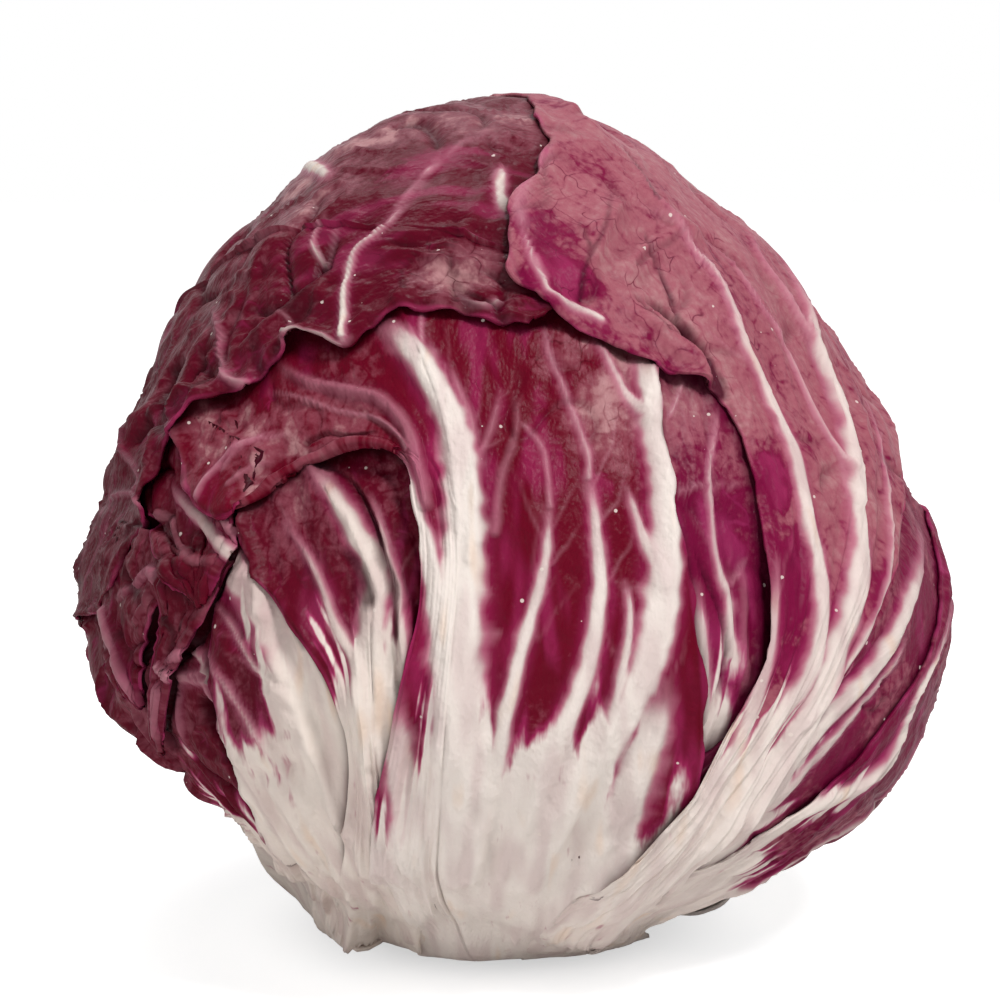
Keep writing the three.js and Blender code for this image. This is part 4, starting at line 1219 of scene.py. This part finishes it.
class Nodes:
    """A small hand for building a node tree."""

    def __init__(self, tree: bpy.types.NodeTree) -> None:
        """Keeps the tree to work on."""
        self.tree = tree

    def add(self, kind: str, **settings: object) -> bpy.types.Node:
        """Adds a node and sets its own settings."""
        node = self.tree.nodes.new(kind)
        for name, value in settings.items():
            setattr(node, name, value)
        return node

    def put(self, socket: Socket, value: object) -> None:
        """Links a socket, or sets its number or colour."""
        if isinstance(value, Socket):
            self.tree.links.new(value, socket)
        elif isinstance(value, tuple) and socket.type == "RGBA":
            socket.default_value = (*value, 1.0)
        else:
            socket.default_value = value

    def math(self, how: str, *values: object) -> Socket:
        """A Math node's result."""
        node = self.add("ShaderNodeMath", operation=how)
        for socket, value in zip(node.inputs, values):
            self.put(socket, value)
        return node.outputs[0]

    def times(self, a: object, b: object) -> Socket:
        """One value times another."""
        return self.math("MULTIPLY", a, b)

    def less(self, value: object) -> Socket:
        """What is left of 1."""
        return self.math("SUBTRACT", 1.0, value)

    def mix(self, share: object, a: object, b: object) -> Socket:
        """A colour between a and b."""
        node = self.add("ShaderNodeMix", data_type="RGBA")
        for name, value in (("Factor_Float", share), ("A_Color", a), ("B_Color", b)):
            self.put(next(s for s in node.inputs if s.identifier == name), value)
        return next(s for s in node.outputs if s.identifier == "Result_Color")

    def step(self, value: object, low: float, high: float) -> Socket:
        """A soft step of a value from 0 at low to 1 at high."""
        node = self.add("ShaderNodeMapRange", interpolation_type="SMOOTHSTEP")
        self.put(node.inputs["Value"], value)
        node.inputs["From Min"].default_value = low
        node.inputs["From Max"].default_value = high
        return node.outputs["Result"]

    def scaled(self, place: object, by: Pair) -> Socket:
        """A flat place with each of its parts multiplied."""
        node = self.add("ShaderNodeMapping")
        node.inputs["Scale"].default_value = (*by, 1)
        self.put(node.inputs["Vector"], place)
        return node.outputs["Vector"]

    def cells(self, place: object, scale: float, feature: str) -> bpy.types.Node:
        """Flat cells over a place."""
        node = self.add("ShaderNodeTexVoronoi", feature=feature, voronoi_dimensions="2D")
        node.inputs["Scale"].default_value = scale
        self.put(node.inputs["Vector"], place)
        return node

    def noise(self, place: object, size: Pair, detail: float) -> Socket:
        """Noise over a place in mm.

        Args:
            place: The place.
            size: Size of a blot across and along, in mm.
            detail: How many finer layers it has.

        Returns:
            Values about 0.5.
        """
        node = self.add("ShaderNodeTexNoise")
        node.inputs["Scale"].default_value = 1.0
        node.inputs["Detail"].default_value = detail
        node.inputs["Roughness"].default_value = 0.55
        self.put(node.inputs["Vector"], self.scaled(place, (1 / size[0], 1 / size[1])))
        return node.outputs["Fac"]

    def place_in_mm(self) -> Socket:
        """The object's own coordinates, in mm."""
        scaled = self.add("ShaderNodeVectorMath", operation="SCALE")
        self.put(scaled.inputs[0], self.add("ShaderNodeTexCoord").outputs["Object"])
        scaled.inputs["Scale"].default_value = 1 / MM
        return scaled.outputs["Vector"]

    def bump(self, shader: bpy.types.Node, height: object, strength: float, deep: float) -> None:
        """Gives a shader a fine bump, as deep as said in mm."""
        bump = self.add("ShaderNodeBump")
        bump.inputs["Strength"].default_value = strength
        bump.inputs["Distance"].default_value = deep * MM
        self.put(bump.inputs["Height"], height)
        self.put(shader.inputs["Normal"], bump.outputs["Normal"])


def new_group(
    name: str, takes: dict[str, str], gives: dict[str, str]
) -> tuple[bpy.types.NodeTree, Nodes, dict[str, Socket], bpy.types.Node]:
    """Starts a shader node group.

    Args:
        name: Its name.
        takes: Input names and socket kinds.
        gives: Output names and socket kinds.

    Returns:
        The group, a hand to build it, its inputs by name and its output node.
    """
    tree = bpy.data.node_groups.new(name, "ShaderNodeTree")
    for way, sockets in (("INPUT", takes), ("OUTPUT", gives)):
        for label, kind in sockets.items():
            tree.interface.new_socket(label, in_out=way, socket_type="NodeSocket" + kind)
    hand = Nodes(tree)
    entry, end = hand.add("NodeGroupInput"), hand.add("NodeGroupOutput")
    return tree, hand, {label: entry.outputs[label] for label in takes}, end


def feather_group() -> bpy.types.NodeTree:
    """Turns the drawn paleness into torn, feathered cream and fringe masks."""
    tree, n, given, end = new_group(
        "rib_feather",
        {"Pale": "Float", "Place": "Vector"},
        {"Cream": "Float", "Fringe": "Float", "Streak": "Float"},
    )
    tear = n.noise(given["Place"], (1.0, 4.5), 2)
    torn = n.times(given["Pale"], n.math("MULTIPLY_ADD", tear, 1.6, 0.2))
    n.put(end.inputs["Cream"], n.step(torn, 0.34, 0.8))
    n.put(end.inputs["Fringe"], n.step(torn, 0.08, 0.5))
    n.put(end.inputs["Streak"], tear)
    return tree


def blade_group() -> bpy.types.NodeTree:
    """Mottles the blade between its deep colour and its dusty bloom, which carries painted sheen.
    """
    tree, n, given, end = new_group(
        "blade_mottle",
        {k: "Vector" if k == "Place" else "Float" for k in ("Place", "Streak", "Share")}
        | {"Deep": "Color", "Bloom": "Color"},
        {"Color": "Color"},
    )
    speck = n.noise(given["Place"], (1.2, 1.2), 4)
    much = n.math("MULTIPLY_ADD", n.math("SUBTRACT", given["Streak"], 0.5), 0.6, given["Share"])
    much = n.math("MULTIPLY_ADD", n.math("SUBTRACT", speck, 0.5), 1.7, much)
    colour = n.mix(n.step(much, 0.15, 1.0), given["Deep"], given["Bloom"])
    n.put(end.inputs["Color"], n.mix(n.step(much, 0.9, 1.9), colour, DUST_AND_SHEEN))
    return tree


def net_group() -> bpy.types.NodeTree:
    """Draws the puckered cells between the finest veins, and the cracks of a worn spot."""
    tree, n, given, end = new_group(
        "vein_net", {"Place": "Vector"}, {"Cell": "Float", "Crack": "Float"}
    )
    warp = n.add("ShaderNodeTexNoise")
    warp.inputs["Scale"].default_value = 0.25
    warp.inputs["Detail"].default_value = 1.0
    n.put(warp.inputs["Vector"], given["Place"])
    bent = n.add("ShaderNodeVectorMath", operation="MULTIPLY_ADD")
    n.put(bent.inputs[0], warp.outputs["Color"])
    bent.inputs[1].default_value = (5.0, 5.0, 0.0)
    n.put(bent.inputs[2], given["Place"])
    place = n.scaled(bent.outputs[0], (0.36, 0.24))
    edge = n.cells(place, 1.0, "DISTANCE_TO_EDGE").outputs["Distance"]
    broken = n.step(warp.outputs["Fac"], 0.48, 0.6)
    n.put(end.inputs["Cell"], n.step(edge, 0.0, 0.12))
    crack = n.less(n.step(edge, 0.0, 0.035))
    n.put(end.inputs["Crack"], n.times(crack, broken))
    return tree


def speck_group() -> bpy.types.NodeTree:
    """Scatters tiny pale specks of grit, and of dew painted as glints."""
    tree, n, given, end = new_group("dew_glint_and_grit_speck", {"Place": "Vector"}, {"Dot": "Float"})
    cells = n.cells(given["Place"], 0.42, "F1")
    pick = n.add("ShaderNodeSeparateColor")
    n.put(pick.inputs[0], cells.outputs["Color"])
    size = n.times(n.step(pick.outputs[0], 0.93, 1.0), 0.12)
    away = n.math("SUBTRACT", size, cells.outputs["Distance"])
    n.put(end.inputs["Dot"], n.step(away, 0.0, 0.04))
    return tree


@dataclass
class Palette:
    """Every material of the head, made once."""

    groups: dict[str, bpy.types.NodeTree] = field(default_factory=dict)
    made: dict[str, bpy.types.Material] = field(default_factory=dict)

    def prepare(self) -> None:
        """Builds the shared node groups."""
        self.groups = {
            "feather": feather_group(),
            "blade": blade_group(),
            "net": net_group(),
            "speck": speck_group(),
        }

    def start(self, name: str) -> tuple[bpy.types.Material, Nodes, bpy.types.Node]:
        """Makes an empty material with a Principled shader."""
        material = bpy.data.materials.new(name)
        material.use_nodes = True
        material.node_tree.nodes.clear()
        n = Nodes(material.node_tree)
        shader = n.add("ShaderNodeBsdfPrincipled")
        out = n.add("ShaderNodeOutputMaterial")
        n.put(out.inputs["Surface"], shader.outputs["BSDF"])
        return material, n, shader

    def use(self, n: Nodes, group: str, **inputs: object) -> bpy.types.Node:
        """Places a shared group with its own values."""
        node = n.add("ShaderNodeGroup")
        node.node_tree = self.groups[group]
        for name, value in inputs.items():
            n.put(node.inputs[name], value)
        return node

    def read(self, n: Nodes, name: str) -> Socket:
        """Reads one of the leaf's own layers of values."""
        node = n.add("ShaderNodeAttribute", attribute_name=name)
        return node.outputs["Vector" if name == PLACE_LAYER else "Fac"]

    def leaf(self, finish: Finish) -> bpy.types.Material:
        """The material of a kind of leaf.

        Args:
            finish: Which kind.

        Returns:
            Its material, the same one each time.
        """
        if finish.name in self.made:
            return self.made[finish.name]
        look = finish.value
        material, n, shader = self.start("leaf_" + finish.name.lower())
        place = self.read(n, PLACE_LAYER)
        # a noise for stains, and for painted light: grey fold shade in the cream, and where the rim
        # highlight breaks
        stain_and_painted_light = n.noise(place, (3.2, 14), 1)
        pale = self.read(n, "pale")
        wander = n.times(n.math("MULTIPLY_ADD", stain_and_painted_light, 5.0, -2.5), pale)
        wander = n.times(wander, n.less(pale))
        rib = self.use(n, "feather", Pale=n.math("ADD", pale, wander), Place=place)
        # the blade: deep, dusty with painted sheen, and flushed
        net = self.use(n, "net", Place=place)
        share = n.math("ADD", look.bloom_and_sheen_share - 0.25, self.read(n, "bloom"))
        share = n.math("MULTIPLY_ADD", net.outputs["Cell"], 0.25, share)
        tones = {"Deep": look.deep, "Bloom": look.bloom, "Streak": rib.outputs["Streak"]}
        blade = self.use(n, "blade", Place=place, Share=share, **tones)
        # cracks, and a painted highlight along the rim, in the fringe's pink
        worn = self.read(n, "worn")
        crack = n.times(net.outputs["Crack"], n.step(worn, 0.1, 0.6))
        crack = n.times(crack, 0.85)
        flush = n.times(n.step(stain_and_painted_light, 0.46, 0.66), n.step(share, 0.3, -0.2))
        flush = n.times(flush, 0.42)
        colour = n.mix(flush, blade.outputs["Color"], look.fringe)
        colour = n.mix(crack, colour, tint(look.deep, CRACKED))
        # a painted highlight along the rim, broken up by noise
        edge = n.less(n.step(self.read(n, "margin"), 0.1, 0.6))
        edge = n.times(edge, n.step(stain_and_painted_light, 0.35, 0.6))
        colour = n.mix(n.times(edge, 0.6), colour, look.fringe)
        # pink fringes and pale veins
        vein = self.read(n, "vein")
        halo = n.times(self.read(n, "halo"), 0.45)
        fringe = n.math("MAXIMUM", n.times(rib.outputs["Fringe"], 0.9), halo)
        colour = n.mix(fringe, colour, look.fringe)
        # grey streaks in the cream are painted shade of its folds
        cream = n.mix(n.step(stain_and_painted_light, 0.42, 0.68), look.cream, tint(look.cream, GREY_FOLD_SHADE))
        peach = n.times(n.step(stain_and_painted_light, 0.4, 0.25), 0.4)
        cream = n.mix(peach, cream, tint(look.cream, PEACHED))
        pinker = n.mix(n.step(vein, 0.3, 0.8), tint(look.cream, PINKED), cream)
        colour = n.mix(vein, colour, pinker)
        colour = n.mix(rib.outputs["Cream"], colour, cream)
        # painted shade in hollows, creases and folds, dark cracks, and the painted shadow beside a
        # leaf that lies on this one
        hollow_shade = n.times(self.read(n, "hollow_shade"), 0.7)
        shade = n.math("MAXIMUM", hollow_shade, self.read(n, "fold_shade_and_crack"))
        bare = n.math("MULTIPLY_ADD", rib.outputs["Cream"], -0.85, 1.0)
        shade = n.math("MINIMUM", n.times(shade, bare), 0.92)
        shade = n.math("MAXIMUM", shade, n.times(self.read(n, "beside"), 0.9))
        colour = n.mix(shade, colour, tint(look.deep, SHADED))
        # specks of grit and painted glints of dew, gloss and grain
        speck = self.use(n, "speck", Place=place).outputs["Dot"]
        colour = n.mix(n.times(speck, 0.75), colour, DEW_GLINT_AND_GRIT)
        n.put(shader.inputs["Base Color"], colour)
        grain = n.noise(place, (0.5, 0.8), 2)
        rough = n.math("ADD", look.roughness - 0.1, n.times(grain, 0.2))
        n.put(shader.inputs["Roughness"], n.math("ADD", rough, n.times(fringe, 0.08)))
        wrinkle = n.noise(place, (1.5, 2.4), 2)
        height = n.math("ADD", n.times(wrinkle, 0.6), n.times(grain, 0.12))
        n.bump(shader, height, 0.8, 0.7)
        shader.inputs["Specular IOR Level"].default_value = 0.06
        self.made[finish.name] = material
        return material

    def flesh(self) -> bpy.types.Material:
        """The cut cream flesh of the stem, browned a little at the cut."""
        material, n, shader = self.start("stem_flesh")
        mm = n.place_in_mm()
        blot = n.noise(mm, (4, 4), 4)
        fibre = n.noise(mm, (0.7, 0.7), 4)
        z = n.add("ShaderNodeSeparateXYZ")
        n.put(z.inputs[0], mm)
        low = n.less(n.step(z.outputs["Z"], 0.2, 2.5))
        colour = n.mix(n.step(blot, 0.4, 0.7), FLESH, FLESH_GREY)
        colour = n.mix(n.times(low, blot), colour, FLESH_BROWN)
        n.put(shader.inputs["Base Color"], colour)
        n.put(shader.inputs["Roughness"], n.math("ADD", 0.5, n.times(fibre, 0.25)))
        n.bump(shader, n.math("ADD", fibre, blot), 0.5, 0.4)
        return material

    def heart(self) -> bpy.types.Material:
        """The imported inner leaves, pink and wine in folded streaks."""
        material, n, shader = self.start("heart_packed")
        mm = n.place_in_mm()
        fold = n.noise(mm, (6, 6), 4)
        fine = n.noise(mm, (1.2, 1.2), 4)
        colour = n.mix(n.step(fold, 0.35, 0.65), HEART_WINE, HEART_PINK)
        colour = n.mix(n.times(fine, 0.4), colour, HEART_PALE)
        n.put(shader.inputs["Base Color"], colour)
        n.put(shader.inputs["Roughness"], n.math("ADD", 0.45, n.times(fine, 0.2)))
        n.bump(shader, n.math("ADD", fold, n.times(fine, 0.3)), 1.0, 1.2)
        return material


# ---- the head and the studio ----


@dataclass
class Head:
    """The whole head: its stem and heart from the frame, and its leaves."""

    plans: tuple[LeafPlan, ...]
    palette: Palette

    def dress_core(self, stack: Stack) -> None:
        """Finishes the stem and the heart, which stay as they are."""
        for name, material in (("stem", self.palette.flesh()), ("heart", self.palette.heart())):
            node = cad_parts[name]
            node.data.materials.clear()
            node.data.materials.append(material)
            stack.add(node.data)
            log.info("%s finished", name)

    def build(self) -> None:
        """Lays on every leaf, from the inside out."""
        stack = Stack()
        self.dress_core(stack)
        laid = [Leaf(plan, seed) for seed, plan in enumerate(self.plans, start=1)]
        for work in laid:
            plan = work.plan
            leaf = work.build(stack)
            leaf.data.materials.append(self.palette.leaf(plan.finish))
            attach(leaf, "root")
            if plan.rooted:
                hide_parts(plan.name)
            log.info("%s laid, %d faces", leaf.name, len(leaf.data.polygons))
        for later, work in enumerate(laid, start=1):
            work.paint_shadow_beside(stack.trees[len(stack.trees) - len(laid) + later :])
        log.info("edges shaded")


@dataclass
class Studio:
    """The pale floor, the soft lamps and the camera."""

    target: tuple[float, float, float] = (-0.13, 4.5, 58.7)
    elevation: float = 8.0
    distance: float = 383.1
    lens: float = 100.0
    sensor: float = 36.0
    clip: Pair = (0.02, 20)
    floor_size: float = 3.0
    floor_glow_and_painted_shadow: tuple[float, float, float] = (0.35, 0.5, 0.2)  # at the foot, round it, far off: least at the foot, which paints a soft shadow there
    floor_steps: tuple[Pair, Pair] = ((0.002, 0.038), (0.04, 0.11))  # metres, for the last two
    floor_pale: Colour = (0.86, 0.86, 0.85)
    floor_plain: Colour = (0.45, 0.45, 0.45)  # as the camera sees it, under its glow, whose painted shadow sets most of the shade at the foot
    world_light: float = 0.1
    lamp_aim: tuple[float, float, float] = (0, 5, 55)
    lamps: tuple[tuple[str, tuple[float, float, float], float, float], ...] = (
        ("key", (330, -400, 700), 0.2, 6.0),
        ("fill", (-560, -520, 200), 0.4, 1.2),
        ("top", (-160, 220, 760), 0.4, 2.2),
        ("low", (40, -760, 120), 0.4, 0.8),
    )

    def lay_floor(self) -> None:
        """Makes the pale floor, which keeps the shadow; its glow, least at the foot, paints a soft
        shadow round the head.
        """
        floor = in_scene("floor", flat_grid("floor", 4, 4, self.floor_size))
        material = bpy.data.materials.new("pale_floor")
        material.use_nodes = True
        shader = material.node_tree.nodes["Principled BSDF"]
        shader.inputs["Roughness"].default_value = 0.9
        shader.inputs["Specular IOR Level"].default_value = 0.0
        n = Nodes(material.node_tree)
        rays = n.add("ShaderNodeLightPath")
        far = n.add("ShaderNodeVectorMath", operation="LENGTH")
        n.put(far.inputs[0], n.add("ShaderNodeTexCoord").outputs["Object"])
        least, near, beyond = self.floor_glow_and_painted_shadow
        close, off = (n.step(far.outputs["Value"], *ends) for ends in self.floor_steps)
        seen_by = rays.outputs["Is Camera Ray"]
        # the glow is least at the foot and grows outwards: a painted soft shadow round the head
        glow_and_painted_shadow = n.math("MULTIPLY_ADD", close, near, least)
        wide = n.times(off, beyond)
        seen = n.times(seen_by, n.math("ADD", glow_and_painted_shadow, wide))
        n.put(shader.inputs["Base Color"], n.mix(seen_by, self.floor_pale, self.floor_plain))
        shader.inputs["Emission Color"].default_value = (1, 1, 1, 1)
        n.put(shader.inputs["Emission Strength"], seen)
        floor.data.materials.append(material)

    def light(self) -> None:
        """Hangs the soft lamps and sets the pale surroundings."""
        for name, place, size, power in self.lamps:
            data = bpy.data.lights.new(name, "AREA")
            data.shape = "DISK"
            data.size = size
            data.energy = power
            lamp = in_scene(name, data)
            lamp.location = Vector(place) * MM
            aim = Vector(self.lamp_aim) * MM - lamp.location
            lamp.rotation_euler = aim.to_track_quat("-Z", "Y").to_euler()
        world = bpy.data.worlds.new("pale_room")
        bpy.context.scene.world = world
        world.use_nodes = True
        n = Nodes(world.node_tree)
        background = world.node_tree.nodes["Background"]
        background.inputs["Color"].default_value = (1, 1, 1, 1)
        rays = n.add("ShaderNodeLightPath")
        plain = n.math("MAXIMUM", rays.outputs["Is Camera Ray"], rays.outputs["Is Glossy Ray"])
        plain = n.math("MAXIMUM", plain, rays.outputs["Is Transmission Ray"])
        level = n.math("MULTIPLY_ADD", plain, 1 - self.world_light, self.world_light)
        n.put(background.inputs["Strength"], level)

    def set_camera(self) -> None:
        """Points the camera at the head from the front, a little above."""
        data = bpy.data.cameras.new("camera")
        data.lens = self.lens
        data.sensor_width = self.sensor
        data.clip_start, data.clip_end = self.clip
        camera = in_scene("camera", data)
        tilt = math.radians(self.elevation)
        back = Vector((0, -math.cos(tilt), math.sin(tilt)))
        camera.location = (Vector(self.target) + back * self.distance) * MM
        camera.rotation_euler = (math.pi / 2 - tilt, 0, 0)
        bpy.context.scene.camera = camera

    def build(self) -> None:
        """Sets up the whole studio."""
        self.lay_floor()
        self.light()
        self.set_camera()
        bpy.context.scene.view_settings.view_transform = "Standard"
        log.info("studio set")


def write_size() -> None:
    """Updates the view layer."""
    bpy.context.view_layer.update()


def main() -> None:
    """Builds the head and the studio."""
    logging.basicConfig(level=logging.INFO, format="%(message)s")
    palette = Palette()
    palette.prepare()
    Head(LEAVES, palette).build()
    Studio().build()
    write_size()


if __name__ == "__main__":
    main()
